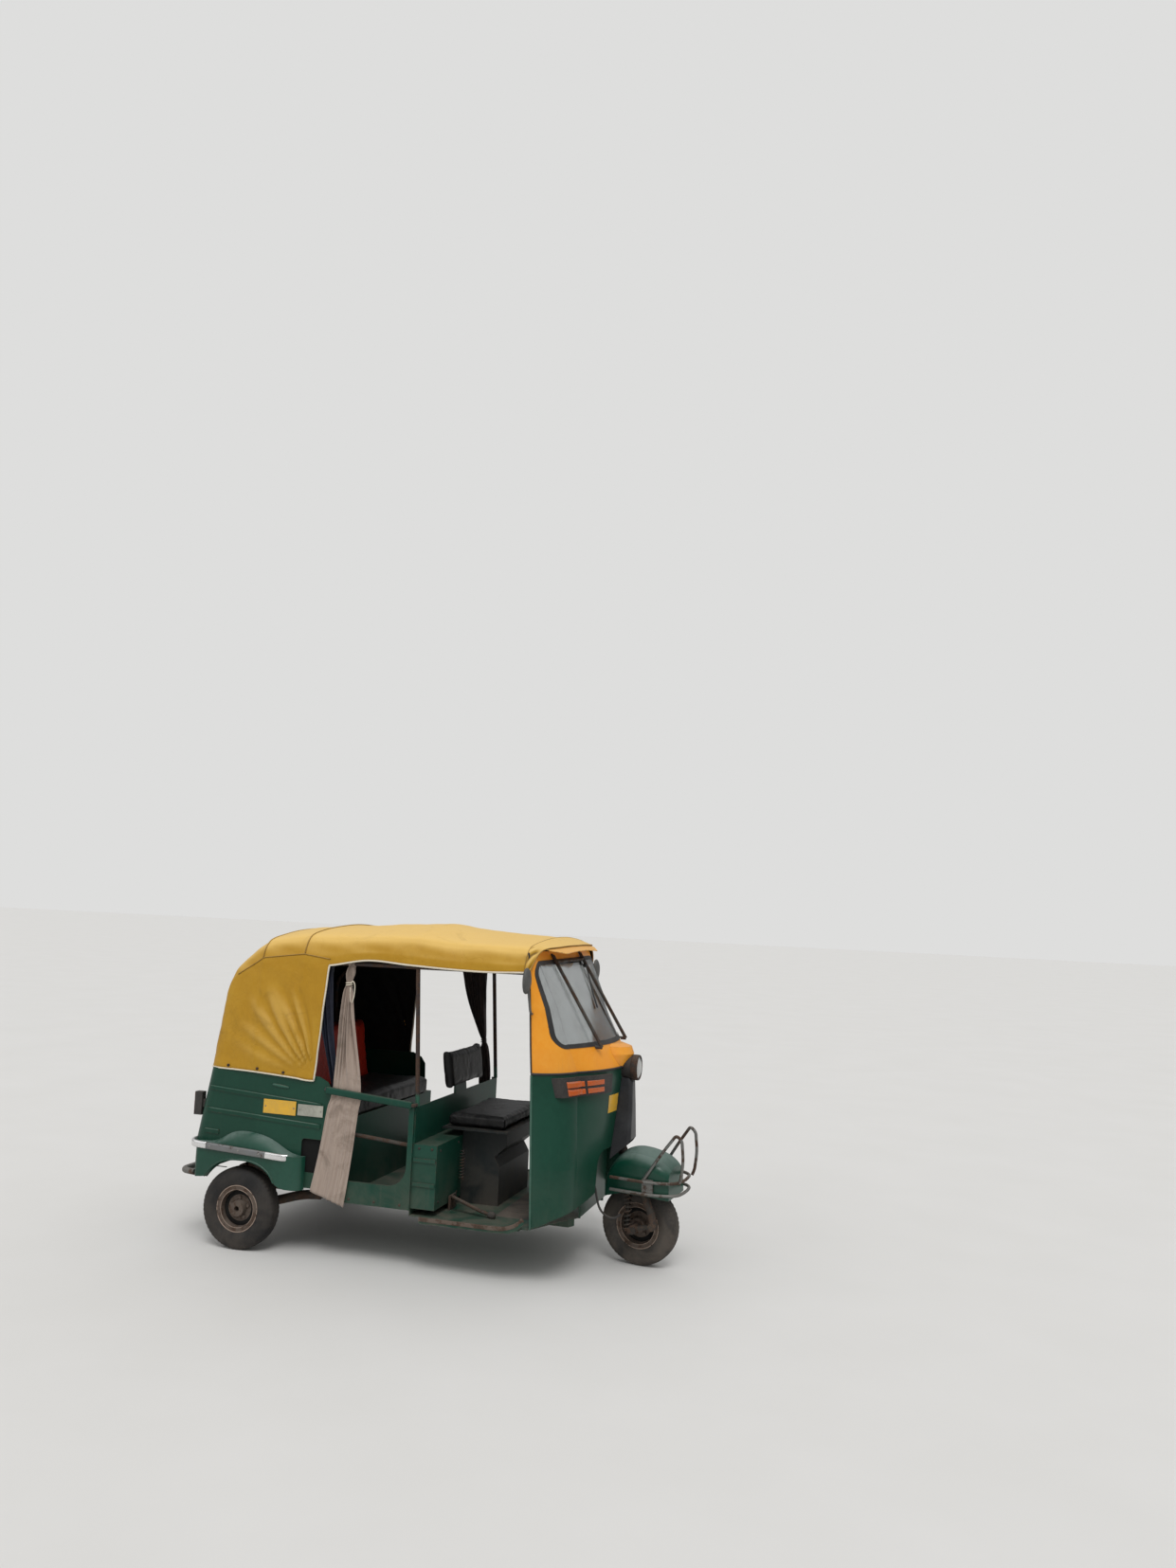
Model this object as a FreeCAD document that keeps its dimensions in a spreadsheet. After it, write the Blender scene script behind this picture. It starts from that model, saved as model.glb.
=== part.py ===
# Three-wheeled auto rickshaw: pressed-steel tub and front shield, hooped cloth canopy,
# steered front wheel on a trailing link, rear engine under a lid.
# Millimetres, X forward, Y to the left, Z up, origin on the ground under the middle of the length.
import FreeCAD, Part
import math
import os
import re
import Sketcher

sizes = [
    # wheels and axles
    ("wheelbase", 2000), ("rear_axle_x", -942), ("track", 1150),
    ("tyre_radius", 207), ("tyre_width", 104), ("tread_half", 38), ("rim_radius", 117),
    ("rim_half", 42), ("rim_wall", 4), ("bead_radius", 98), ("disc_offset", 6), ("disc_wall", 7),
    ("hub_radius", 38), ("hub_depth", 34), ("nut_circle", 52), ("nut_radius", 8), ("nut_count", 5),
    ("vent_circle", 79), ("vent_radius", 9), ("vent_count", 10), ("bore_radius", 14), ("axle_gap", 1),
    # steering
    ("rake", 24), ("trail_offset", 55), ("steer_rest", 11), ("camber_lift", 0.5), ("column_radius", 21),
    ("head_wall", 9), ("head_low_z", 628), ("head_high_z", 905), ("shaft_gap", 0.3), ("column_top_z", 985), ("bar_half", 280), ("bar_sweep", 110),
    ("bar_radius", 12), ("grip_radius", 17), ("grip_length", 115),
    ("fork_radius", 20), ("pivot_ahead", 104), ("pivot_z", 238), ("leg_side", 100), ("link_radius", 13),
    ("spring_radius", 21), ("spring_behind", 31), ("spring_foot_z", 186), ("spring_top_z", 430),
    ("guard_half", 128), ("guard_top", 600), ("guard_wall", 3), ("guard_rear", 178), ("guard_front", 190),
    ("guard_skirt_z", 350), ("rail_radius", 8), ("rail_low_z", 408), ("rail_high_z", 470),
    # floor
    ("floor_z", 268), ("cabin_floor_z", 306), ("sheet", 5), ("sill_depth", 13), ("well_x", 800),
    ("sill_z", 297), ("sill_top_z", 405), ("sill_sweep", 100), ("sill_strip", 28), ("body_half", 598), ("door_rear_x", -440), ("door_front_x", 630),
    ("board_rear_x", 77), ("board_front_x", 600), ("board_reach", 24), ("board_z", 248),
    ("beam_half", 300), ("beam_width", 50), ("beam_depth", 34),
    # partition between passengers and driver
    ("partition_x", 12), ("box_front_x", 142), ("box_top_z", 620), ("rail_top_z", 800), ("rib_depth", 7),
    # front shield and cowl
    ("seam_z", 1010), ("well_half", 258), ("well_top_z", 600), ("screen_foot_z", 1128),
    ("screen_top_z", 1556), ("cowl_top_z", 1600), ("screen_inset", 57),
    ("screen_lean", 10), ("screen_corner", 78), ("panel", 4), ("seal_width", 20), ("seal_gap", 0.2),
    ("glass_wall", 5), ("nose_front_x", 1006), ("nose_top_z", 960),
    ("lamp_z", 1004), ("lamp_radius", 64), ("lamp_front_x", 1018), ("turn_low_z", 900), ("turn_high_z", 992),
    ("turn_depth", 26), ("visor_front_x", 688),
    ("screen_bar_half", 252), ("screen_bar_radius", 9),
    # canopy and hoops
    ("canopy_wall", 4), ("roof_edge_z", 1498), ("roof_top_z", 1704),
    ("hoop_radius", 11), ("roof_rail_z", 1498), ("roof_rail_inset", 46), ("hoop_gap", 1), ("post_inset", 32), ("post_foot_x", 15), ("post_top_x", -27),
    # tub
    ("vent_rear_x", -605), ("vent_front_x", -482), ("vent_low_z", 424), ("vent_high_z", 592), ("vent_corner", 16),
    ("tub_foot_z", 345), ("tub_top_z", 908), ("tub_corner", 60), ("arch_radius", 247), ("rib_half", 11),
    ("fender_depth", 54), ("fender_wall", 4), ("lid_half", 330), ("lid_low_z", 440), ("lid_high_z", 800),
    ("lid_gap", 5), ("lid_wall", 5), ("hinge_gap", 10.4), ("bumper_rear_x", -1350), ("bumper_inset", 38), ("bumper_radius", 16),
    ("bumper_z", 352), ("bracket_half", 105), ("bracket_top_z", 438), ("bracket_hole_z", 412),
    ("bracket_spacing", 160), ("bracket_hole_radius", 3.5),
    # seats
    ("seat_front_x", -372), ("seat_rear_x", -800), ("seat_half", 520), ("seat_base_z", 690),
    ("seat_top_z", 790), ("back_top_z", 1110), ("back_wall", 95), ("base_front_x", -400),
    ("driver_front_x", 405), ("driver_rear_x", 60), ("driver_half", 310), ("driver_top_z", 735),
    ("driver_base_z", 665), ("driver_box_half", 240), ("pan_lip", 6), ("pan_depth", 9), ("pad_gap", 0.3), ("driver_pad_low_z", 838),
    ("driver_pad_high_z", 1045), ("driver_pad_half", 250), ("driver_pad_wall", 50),
    # engine and rear suspension
    ("engine_front_x", -860), ("engine_rear_x", -1150), ("engine_half", 190), ("engine_low_z", 215),
    ("engine_high_z", 470), ("arm_pivot_x", -600), ("arm_radius", 24), ("hub_face", 46),
    ("muffler_radius", 40), ("muffler_half", 170),
]

doc = FreeCAD.newDocument("auto_rickshaw")
sheet = doc.addObject("Spreadsheet::Sheet", "sizes")
for row, (name, value) in enumerate(sizes, start=1):
    sheet.set("A%d" % row, name)
    sheet.set("B%d" % row, str(value))
    sheet.setAlias("B%d" % row, name)
doc.recompute()


class Sizes:
    def __getattr__(self, name):
        return float(getattr(sheet, name))


z = Sizes()
floor_half = z.body_half - z.sill_depth
board_half = z.body_half + z.board_reach
screen_half = z.body_half - z.screen_inset
post_half = z.body_half - z.post_inset
fender_half = z.body_half + z.fender_depth
bumper_half = z.body_half - z.bumper_inset
wide = z.body_half + 150
vec = FreeCAD.Vector
parts = []


def bound(expression):
    # every word of an expression is the name of a cell
    return re.sub(r"[a-z_]+", lambda word: "sizes." + word.group(0), expression)


def keep(thing, label):
    thing.Label = label
    parts.append(thing)
    return thing


def shape_part(label, shape):
    thing = doc.addObject("Part::Feature", label)
    thing.Shape = shape
    return keep(thing, label)


def body(name):
    return doc.addObject("PartDesign::Body", name)


def origin_plane(owner, role):
    return [f for f in owner.Origin.OriginFeatures if f.Role == role][0]


def outline(owner, role, points):
    # closed outline on an origin plane, each corner held by two bound distances
    sketch = owner.newObject("Sketcher::SketchObject", owner.Name + "_outline")
    sketch.AttachmentSupport = [(origin_plane(owner, role), "")]
    sketch.MapMode = "FlatFace"
    ground = [tuple(float(sheet.evalExpression(bound(word))) for word in point) for point in points]
    count = len(ground)
    for i in range(count):
        j = (i + 1) % count
        sketch.addGeometry(Part.LineSegment(vec(*ground[i], 0), vec(*ground[j], 0)), False)
    for i in range(count):
        sketch.addConstraint(Sketcher.Constraint("Coincident", i, 2, (i + 1) % count, 1))
    for i, point in enumerate(points):
        for kind, word, value in zip(("DistanceX", "DistanceY"), point, ground[i]):
            place = sketch.addConstraint(Sketcher.Constraint(kind, -1, 1, i, 1, value))
            sketch.setExpression("Constraints[%d]" % place, bound(word))
    return sketch


def pad(owner, role, points, length, reach=None):
    # a pad over both sides of its plane, or from a stated offset
    sketch = outline(owner, role, points)
    feature = owner.newObject("PartDesign::Pad", owner.Name + "_pad")
    feature.Profile = sketch
    sketch.Visibility = False
    feature.setExpression("Length", bound(length))
    if reach is None:
        feature.Midplane = True
    else:
        sketch.setExpression("AttachmentOffset.Base.z", bound(reach))
    return feature


def lathe(owner, points):
    # profile on the YZ plane turned about the Y axis
    sketch = outline(owner, "YZ_Plane", points)
    turn = owner.newObject("PartDesign::Revolution", owner.Name + "_turn")
    turn.Profile = sketch
    turn.ReferenceAxis = (sketch, ["H_Axis"])
    turn.Angle = 360
    return turn


def mirror(shape):
    return shape.mirror(vec(0, 0, 0), vec(0, 1, 0))


def pair(shape):
    return Part.makeCompound([shape, mirror(shape)])


def block(x0, x1, y0, y1, z0, z1):
    return Part.makeBox(x1 - x0, y1 - y0, z1 - z0, vec(x0, y0, z0))


def prism(points, direction, reach):
    # closed outline of (x, y, z) corners pushed along a direction
    wire = Part.makePolygon([vec(*p) for p in points] + [vec(*points[0])])
    return Part.Face(wire).extrude(direction * reach)


def side_prism(points, half):
    return prism([(x, -half, height) for x, height in points], vec(0, 1, 0), 2 * half)


def rounded_wire(points, radius):
    # closed outline of (x, y, z) corners, each rounded by a tangent arc
    knots = [vec(*p) for p in points]
    runs = []
    for i, here in enumerate(knots):
        a, b = knots[i - 1] - here, knots[(i + 1) % len(knots)] - here
        cut = radius * math.tan((math.pi - a.getAngle(b)) / 2)
        a.normalize()
        b.normalize()
        middle = a + b
        middle.normalize()
        centre = here + middle * math.hypot(radius, cut)
        runs.append((here + a * cut, centre - middle * radius, here + b * cut))
    edges = []
    for i, (first, top, last) in enumerate(runs):
        edges.append(Part.Arc(first, top, last).toShape())
        edges.append(Part.LineSegment(last, runs[(i + 1) % len(runs)][0]).toShape())
    return Part.Wire(edges)


def rounded_prism(x0, x1, low, high, radius, half):
    # rounded rectangle seen from the side, pushed across the vehicle
    corners = [(x0, -half, low), (x1, -half, low), (x1, -half, high), (x0, -half, high)]
    return Part.Face(rounded_wire(corners, radius)).extrude(vec(0, 2 * half, 0))


def curve(points):
    # smooth curve through the points
    shape = Part.BSplineCurve()
    shape.interpolate([vec(*p) for p in points])
    return shape.toShape()


def path_wire(points, share=0.45):
    # straight runs joined by tangent arcs
    knots = [vec(*p) for p in points]
    edges, start = [], knots[0]
    for before, here, after in zip(knots, knots[1:], knots[2:]):
        a, b = (before - here), (after - here)
        turn = math.pi - a.getAngle(b)
        cut = share * min(a.Length, b.Length)
        a.normalize()
        b.normalize()
        first, last = here + a * cut, here + b * cut
        radius = cut / math.tan(turn / 2)
        middle = (a + b)
        middle.normalize()
        centre = here + middle * math.hypot(radius, cut)
        edges.append(Part.LineSegment(start, first).toShape())
        edges.append(Part.Arc(first, centre - middle * radius, last).toShape())
        start = last
    edges.append(Part.LineSegment(start, knots[-1]).toShape())
    return Part.Wire(edges)


def tube(points, radius, share=0.45):
    wire = path_wire(points, share)
    along = vec(*points[1]) - vec(*points[0])
    ring = Part.Wire(Part.makeCircle(radius, vec(*points[0]), along))
    return wire.makePipeShell([ring], True, False, 2)


def rod(start, end, radius):
    a, b = vec(*start), vec(*end)
    return Part.makeCylinder(radius, (b - a).Length, a, b - a)


def joined(shapes):
    first, rest = shapes[0], shapes[1:]
    return first.fuse(rest).removeSplitter() if rest else first


def arc(a, middle, b):
    return Part.Arc(vec(*a), vec(*middle), vec(*b)).toShape()


def line(a, b):
    return Part.LineSegment(vec(*a), vec(*b)).toShape()


# plan outline of the front skin: height, door edge x and its inset from the body side,
# corner x and its inset, nose x, corner bulge
front_rows = [
    (268, 648, 2, 838, 93, 882, 40),
    (560, 636, 4, 836, 128, 905, 40),
    (1010, 612, 20, 800, 198, 945, 26),
]
cowl_rows = [
    (1010, 612, 20, 800, 198, 945, 26),
    (1128, 602, 24, 762, 166, 884, 26),
    (1330, 588, 30, 692, 153, 748, 22),
    (1560, 566, 42, 588, 128, 596, 6),
    (1600, 562, 46, 574, 128, 580, 4),
]


def band(rows, depth, wall):
    # skin between an outline set in by depth and one set in by depth plus wall
    wires = []
    for height, door, side_in, corner, corner_in, nose, bulge in rows:
        half, corner_half = z.body_half - side_in, z.body_half - corner_in
        edges = []
        ends = []
        for inset, way in ((depth, 1), (depth + wall, -1)):
            a = (door, -half + inset, height)
            c = (corner - 0.7 * inset, -corner_half + 0.7 * inset, height)
            m = ((a[0] + c[0]) / 2 + bulge, (a[1] + c[1]) / 2 - bulge, height)
            n = (nose - inset, 0, height)
            flip = [(p[0], -p[1], p[2]) for p in (a, c, m)]
            run = [arc(a, m, c), arc(c, n, flip[1]), arc(flip[1], flip[2], flip[0])]
            ends.append((a, flip[0]))
            edges.append(run)
        loop = edges[0] + [line(ends[0][1], ends[1][1])] + edges[1][::-1] + [line(ends[1][0], ends[0][0])]
        wires.append(Part.Wire(Part.__sortEdges__(loop)))
    return Part.makeLoft(wires, True, True)


def front_core(rows, depth):
    # the whole space behind the front skin, as one solid, to trim pieces against
    wires = []
    for height, door, side_in, corner, corner_in, nose, bulge in rows:
        half, corner_half = z.body_half - side_in, z.body_half - corner_in
        a = (door, -half + depth, height)
        c = (corner - 0.7 * depth, -corner_half + 0.7 * depth, height)
        m = ((a[0] + c[0]) / 2 + bulge, (a[1] + c[1]) / 2 - bulge, height)
        flip = [(p[0], -p[1], p[2]) for p in (a, c, m)]
        loop = [arc(a, m, c), arc(c, (nose - depth, 0, height), flip[1]),
                arc(flip[1], flip[2], flip[0]), line(flip[0], a)]
        wires.append(Part.Wire(Part.__sortEdges__(loop)))
    return Part.makeLoft(wires, True, True)


# steering axis: from the ground point up and back
rake = math.radians(z.rake)
front_x = z.rear_axle_x + z.wheelbase
axis_dir = vec(-math.sin(rake), 0, math.cos(rake))
axis_foot = vec(front_x + z.trail_offset + z.tyre_radius * math.tan(rake), 0, 0)


def on_axis(height):
    return axis_foot + axis_dir * (height / axis_dir.z)


def steered(shape):
    # the wheel stands turned to the right, as parked
    return shape.rotated(on_axis(z.tyre_radius), axis_dir, -z.steer_rest)


# floor
floor_points = [
    ("door_rear_x", "cabin_floor_z-sheet"), ("partition_x-sheet", "cabin_floor_z-sheet"),
    ("partition_x-sheet", "floor_z"), ("well_x-panel", "floor_z"),
    ("well_x-panel", "floor_z+sheet"), ("partition_x", "floor_z+sheet"),
    ("partition_x", "cabin_floor_z"), ("door_rear_x", "cabin_floor_z"),
]
floor_body = body("floor")
pad(floor_body, "XZ_Plane", floor_points, "2*(body_half-sill_depth)")
doc.recompute()
boards = block(z.board_rear_x, z.board_front_x, -board_half, -floor_half, z.floor_z, z.floor_z + z.sheet)
lip_line = [(z.board_rear_x, z.board_z), (z.board_front_x - 110, z.board_z), (z.board_front_x - 50, z.board_z + 5),
            (z.board_front_x - 8, z.board_z + 22), (z.board_front_x + 26, z.board_z + 58),
            (z.board_front_x + 16, z.board_z + 66), (z.board_front_x - 18, z.board_z + 38),
            (z.board_front_x - 50, z.floor_z + z.sheet), (z.board_rear_x, z.floor_z + z.sheet)]
lip = prism([(x, -board_half, height) for x, height in lip_line], vec(0, 1, 0), z.sheet)
beam = block(z.arm_pivot_x - 60, z.well_x - 20, -z.beam_half - z.beam_width / 2,
             -z.beam_half + z.beam_width / 2, z.floor_z - z.beam_depth, z.floor_z)
riser = block(z.arm_pivot_x - 60, z.door_rear_x + 60, -z.beam_half - z.beam_width / 2,
              -z.beam_half + z.beam_width / 2, z.floor_z, z.cabin_floor_z - z.sheet)
kick_low, kick_high = z.engine_high_z, z.engine_high_z + z.beam_depth
kick_x, frame_rear = z.arm_pivot_x - 60, z.engine_rear_x + 30
kick = prism([(x, -z.beam_half - z.beam_width / 2, height) for x, height in [
    (kick_x, z.floor_z - z.beam_depth), (kick_x - 84, kick_low), (frame_rear, kick_low), (frame_rear, kick_high),
    (kick_x - 44, kick_high), (kick_x + 28, z.cabin_floor_z - z.sheet), (kick_x + 28, z.floor_z)]], vec(0, 1, 0), z.beam_width)
plate_half = z.body_half - 93
spring_plate = block(z.rear_axle_x + 50, z.rear_axle_x + 132, -plate_half, plate_half, kick_low, kick_low + 6)
cross_half = z.body_half - 6.3
rear_cross = block(frame_rear, frame_rear + 30, -cross_half, cross_half, kick_low, kick_high)
# sill, sweeping up into the edge of the partition
sweep, strip = z.sill_sweep, z.sill_strip
sill_y, post_rear = -z.body_half, z.partition_x - strip
k = sweep * math.sqrt(0.5)
sill_edges = [line((z.door_rear_x, sill_y, z.sill_z), (z.door_rear_x, sill_y, z.sill_top_z)),
              line((z.door_rear_x, sill_y, z.sill_top_z), (post_rear - sweep, sill_y, z.sill_top_z)),
              arc((post_rear - sweep, sill_y, z.sill_top_z), (post_rear - sweep + k, sill_y, z.sill_top_z + sweep - k),
                  (post_rear, sill_y, z.sill_top_z + sweep)),
              line((post_rear, sill_y, z.sill_top_z + sweep), (post_rear, sill_y, z.rail_top_z)),
              line((post_rear, sill_y, z.rail_top_z), (z.partition_x, sill_y, z.rail_top_z)),
              line((z.partition_x, sill_y, z.rail_top_z), (z.partition_x, sill_y, z.sill_z)),
              line((z.partition_x, sill_y, z.sill_z), (z.door_rear_x, sill_y, z.sill_z))]
sill = Part.Face(Part.Wire(sill_edges)).extrude(vec(0, z.sill_depth, 0))
extras = [boards, lip, beam, riser, sill, kick]
floor_shape = joined([floor_body.Shape, spring_plate, rear_cross] + extras + [mirror(s) for s in extras])
# front corners run in under the rising edge of the shield
corner = [(z.door_front_x, -wide, 200), (z.door_front_x, -z.body_half + 8, 200), (z.well_x, -250, 200),
          (z.well_x + 30, -250, 200), (z.well_x + 30, -wide, 200)]
floor_corner = prism(corner, vec(0, 0, 1), 200)
floor_shape = floor_shape.cut(pair(floor_corner))
shape_part("floor_pan", floor_shape)
doc.removeObject(floor_body.Name)


# front shield with the wheel well behind it
def arch_cut(half, top, x0, x1):
    shoulder = top - 70
    edges = [line((x0, -half, 0), (x0, -half, shoulder)),
             arc((x0, -half, shoulder), (x0, -half + 24, top - 20), (x0, -half + 90, top)),
             line((x0, -half + 90, top), (x0, half - 90, top)),
             arc((x0, half - 90, top), (x0, half - 24, top - 20), (x0, half, shoulder)),
             line((x0, half, shoulder), (x0, half, 0)), line((x0, half, 0), (x0, -half, 0))]
    return Part.Face(Part.Wire(edges)).extrude(vec(x1 - x0, 0, 0))


shield = band(front_rows, 0, z.panel)
core = front_core(front_rows, 1)
well = arch_cut(z.well_half + z.panel, z.well_top_z + z.panel, z.well_x - z.panel, 1100)
well_space = arch_cut(z.well_half, z.well_top_z, z.well_x, 1100)
liner = well.cut(well_space).cut(block(700, 1100, -400, 400, 0, z.floor_z)).common(core)
shield = shield.cut(well_space)
skirt_edge = [(640, 268), (649, 276), (700, 301), (760, 330), (816, 354), (856, 378), (890, 425), (905, 490), (915, 550)]
skirt = Part.Face(Part.Wire([curve([(x, -wide, height) for x, height in skirt_edge]),
                             line((915, -wide, 550), (1040, -wide, 550)), line((1040, -wide, 550), (1040, -wide, 180)),
                             line((1040, -wide, 180), (640, -wide, 180)),
                             line((640, -wide, 180), (640, -wide, 268))])).extrude(vec(0, 2 * wide, 0))
shield = shield.cut(skirt)
liner = liner.cut(skirt.common(block(z.well_x + 6, 1040, -wide, wide, 180, 560)))
head_tube = rod(on_axis(z.head_low_z), on_axis(z.head_high_z), z.column_radius + z.head_wall)
column_hole = Part.makeCylinder(z.column_radius + z.shaft_gap, 1200, axis_foot, axis_dir)
shield = joined([shield, liner, head_tube]).cut(column_hole)
shape_part("front_shield", shield)

# black nose spine over the steering column: height, front x, half width
nose_rows = [(500, z.nose_front_x, 87), (640, z.nose_front_x, 72), (800, z.nose_front_x - 3, 54), (930, z.nose_front_x - 8, 42),
             (z.nose_top_z, z.nose_front_x - 20, 36)]


def nose_loft(depth):
    wires = []
    for height, front, half in nose_rows:
        height = height - depth if height == z.nose_top_z else height
        front, half, soft = front - depth, half - depth, 20
        edges = [line((840, -half, height), (front - soft, -half, height)),
                 arc((front - soft, -half, height), (front - 6, -half + 6, height), (front, -half + soft, height)),
                 line((front, -half + soft, height), (front, half - soft, height)),
                 arc((front, half - soft, height), (front - 6, half - 6, height), (front - soft, half, height)),
                 line((front - soft, half, height), (840, half, height)), line((840, half, height), (840, -half, height))]
        wires.append(Part.Wire(edges))
    return Part.makeLoft(wires, True, True)


nose_under = side_prism([(840, 400), (840, 486), (884, 521), (z.nose_front_x - 20, 612), (z.nose_front_x, 640),
                         (1100, 640), (1100, 400)], 200)
skin_space = front_core(front_rows, -0.3)
nose = nose_loft(0).cut(nose_loft(z.panel)).cut(nose_under).cut(skin_space)
shape_part("nose_panel", max(nose.Solids, key=lambda s: s.Volume))

# cowl round the windscreen, with its bump over the headlamp
def window_space(step, x0, x1):
    # the screen's opening drawn in by step, its corners rounded
    foot, top = z.screen_foot_z + step, z.screen_top_z - step
    foot_half, top_half = screen_half - z.screen_lean - step, screen_half - step
    corners = [(x0, -foot_half, foot), (x0, foot_half, foot), (x0, top_half, top), (x0, -top_half, top)]
    return Part.Face(rounded_wire(corners, z.screen_corner - step)).extrude(vec(x1 - x0, 0, 0))


cowl = band(cowl_rows, 0, z.panel).cut(window_space(0, 560, 1000))
bump_rows = [(z.seam_z, 964, 120), (1074, 990, 108), (1112, 976, 96), (1127, 930, 80)]
bump_wires = []
for height, front, half in bump_rows:
    bump_wires.append(Part.Wire([arc((840, -half, height), (front, 0, height), (840, half, height)),
                                 line((840, half, height), (840, -half, height))]))
bump = Part.makeLoft(bump_wires, True, True)
inner_wires = []
for height, front, half in bump_rows:
    inner_wires.append(Part.Wire([
        arc((836, -half + 5, height - 4), (front - 5, 0, height - 4), (836, half - 5, height - 4)),
        line((836, half - 5, height - 4), (836, -half + 5, height - 4))]))
bump = bump.cut(Part.makeLoft(inner_wires, True, True)).cut(front_core(cowl_rows, z.panel - 1))
cowl = joined([cowl, max(bump.Solids, key=lambda s: s.Volume)])
shape_part("upper_cowl", cowl)

gasket = band(cowl_rows, -3, 10)
gasket = gasket.common(window_space(z.seal_gap, 560, 1000)).cut(window_space(z.seal_width, 500, 1100))
shape_part("screen_seal", gasket)
glass = band(cowl_rows, 0, z.glass_wall).common(window_space(z.seal_width + z.seal_gap, 560, 1000))
shape_part("windscreen", glass)

# two bars and a cross bar in front of the screen
bar_half = z.screen_bar_half
bars = []
for side in (-1, 1):
    bars.append(rod((596, side * bar_half, 1578), (882, side * bar_half, 1124), z.screen_bar_radius))
    bars.append(rod((840, side * bar_half, 1124), (882, side * bar_half, 1124), z.screen_bar_radius))
    bars.append(rod((570, side * bar_half, 1578), (596, side * bar_half, 1578), z.screen_bar_radius))
bars.append(rod((617, -bar_half, 1544), (617, bar_half, 1544), 7))
guard_bars = joined(bars).cut(front_core(cowl_rows, -3.3))
shape_part("screen_guard", max(guard_bars.Solids, key=lambda s: s.Volume))

# headlamp: a can with a flat lens, and its rim
lamp = body("lamp")
lamp_points = [("870", "0"), ("870", "lamp_radius-22"), ("lamp_front_x-60", "lamp_radius-4"),
               ("lamp_front_x-22", "lamp_radius"), ("lamp_front_x-6", "lamp_radius"),
               ("lamp_front_x", "lamp_radius-8"), ("lamp_front_x", "0")]
lamp_sketch = outline(lamp, "XZ_Plane", lamp_points)
lamp_turn = lamp.newObject("PartDesign::Revolution", "lamp_turn")
lamp_turn.Profile = lamp_sketch
lamp_turn.ReferenceAxis = (lamp_sketch, ["H_Axis"])
lamp_turn.Angle = 360
doc.recompute()
lamp_shape = lamp.Shape.copy()
doc.removeObject(lamp.Name)
lamp_shape.translate(vec(0, 0, z.lamp_z))
lamp_hole = Part.makeCylinder(z.lamp_radius - 1, 200, vec(850, 0, z.lamp_z), vec(1, 0, 0))
nose_hole = Part.makeCylinder(z.lamp_radius + z.pad_gap, 200, vec(850, 0, z.lamp_z), vec(1, 0, 0))
for thing in parts:
    if thing.Label in ("front_shield", "upper_cowl"):
        thing.Shape = thing.Shape.cut(lamp_hole)
    if thing.Label == "nose_panel":
        thing.Shape = thing.Shape.cut(nose_hole)
shape_part("headlamp", lamp_shape)

# turn lamps wrapped round the corners of the shield
lamp_band = band([(z.turn_low_z, 619, 13, 808, 181, 939, 29), (z.turn_high_z, 613, 19, 801, 195, 944.5, 26)],
                 -z.turn_depth, z.turn_depth - 0.3)
window_box = block(600, 1000, -540, -215, z.turn_low_z, z.turn_high_z)
shape_part("turn_lamps", pair(lamp_band.common(window_box).cut(front_core(front_rows, -0.3))))

# dashboard behind the screen
dash_points = [(800, 1046), (774, 1096), (790, 1120), (900, 1120), (900, 1046)]
dash = side_prism(dash_points, 120).common(front_core(cowl_rows, z.panel + z.pad_gap)).cut(lamp_hole)
shape_part("dashboard", max(dash.Solids, key=lambda s: s.Volume))

# roof visor: x, half width, edge z, middle z
visor_rows = [(560.3, z.body_half - 128, 1628, 1662), (640, z.body_half - 198, 1608, 1630),
              (z.visor_front_x, z.body_half - 308, 1594, 1604)]
visor_wires = []
for x, half, edge_z, middle_z in visor_rows:
    upper = arc((x, -half, edge_z), (x, 0, middle_z), (x, half, edge_z))
    lower = arc((x, half, edge_z - z.panel), (x, 0, middle_z - z.panel), (x, -half, edge_z - z.panel))
    visor_wires.append(Part.Wire([upper, line((x, half, edge_z), (x, half, edge_z - z.panel)), lower,
                                  line((x, -half, edge_z - z.panel), (x, -half, edge_z))]))
visor = Part.makeLoft(visor_wires, True, True)
shape_part("roof_visor", visor)


canopy_foot = z.tub_top_z + z.pad_gap


# canopy hoops: foot x, top x, insets from the body side at the foot, shoulder and crown,
# shoulder z, crown z, top z
hoop_table = [
    (560, 560, 15, 24, 128, 1506, 1628, 1662),
    (160, 160, 14, 22, 128, 1500, 1640, 1684),
    (-66, -66, 13, 21, 128, 1502, 1652, 1704),
    (-600, -600, 8, 18, 138, 1496, 1640, 1678),
    (-900, -915, 4, 24, 148, 1440, 1600, 1642),
    (-1040, -1052, 8, 38, 168, 1370, 1500, 1536),
    (-1182, -1132, 34, 64, 198, 1290, 1372, 1396),
]
hoops = [(foot, top, z.body_half - foot_in, z.body_half - shoulder_in, shoulder_z, z.body_half - crown_in, crown_z, top_z)
         for foot, top, foot_in, shoulder_in, crown_in, shoulder_z, crown_z, top_z in hoop_table]


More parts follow.
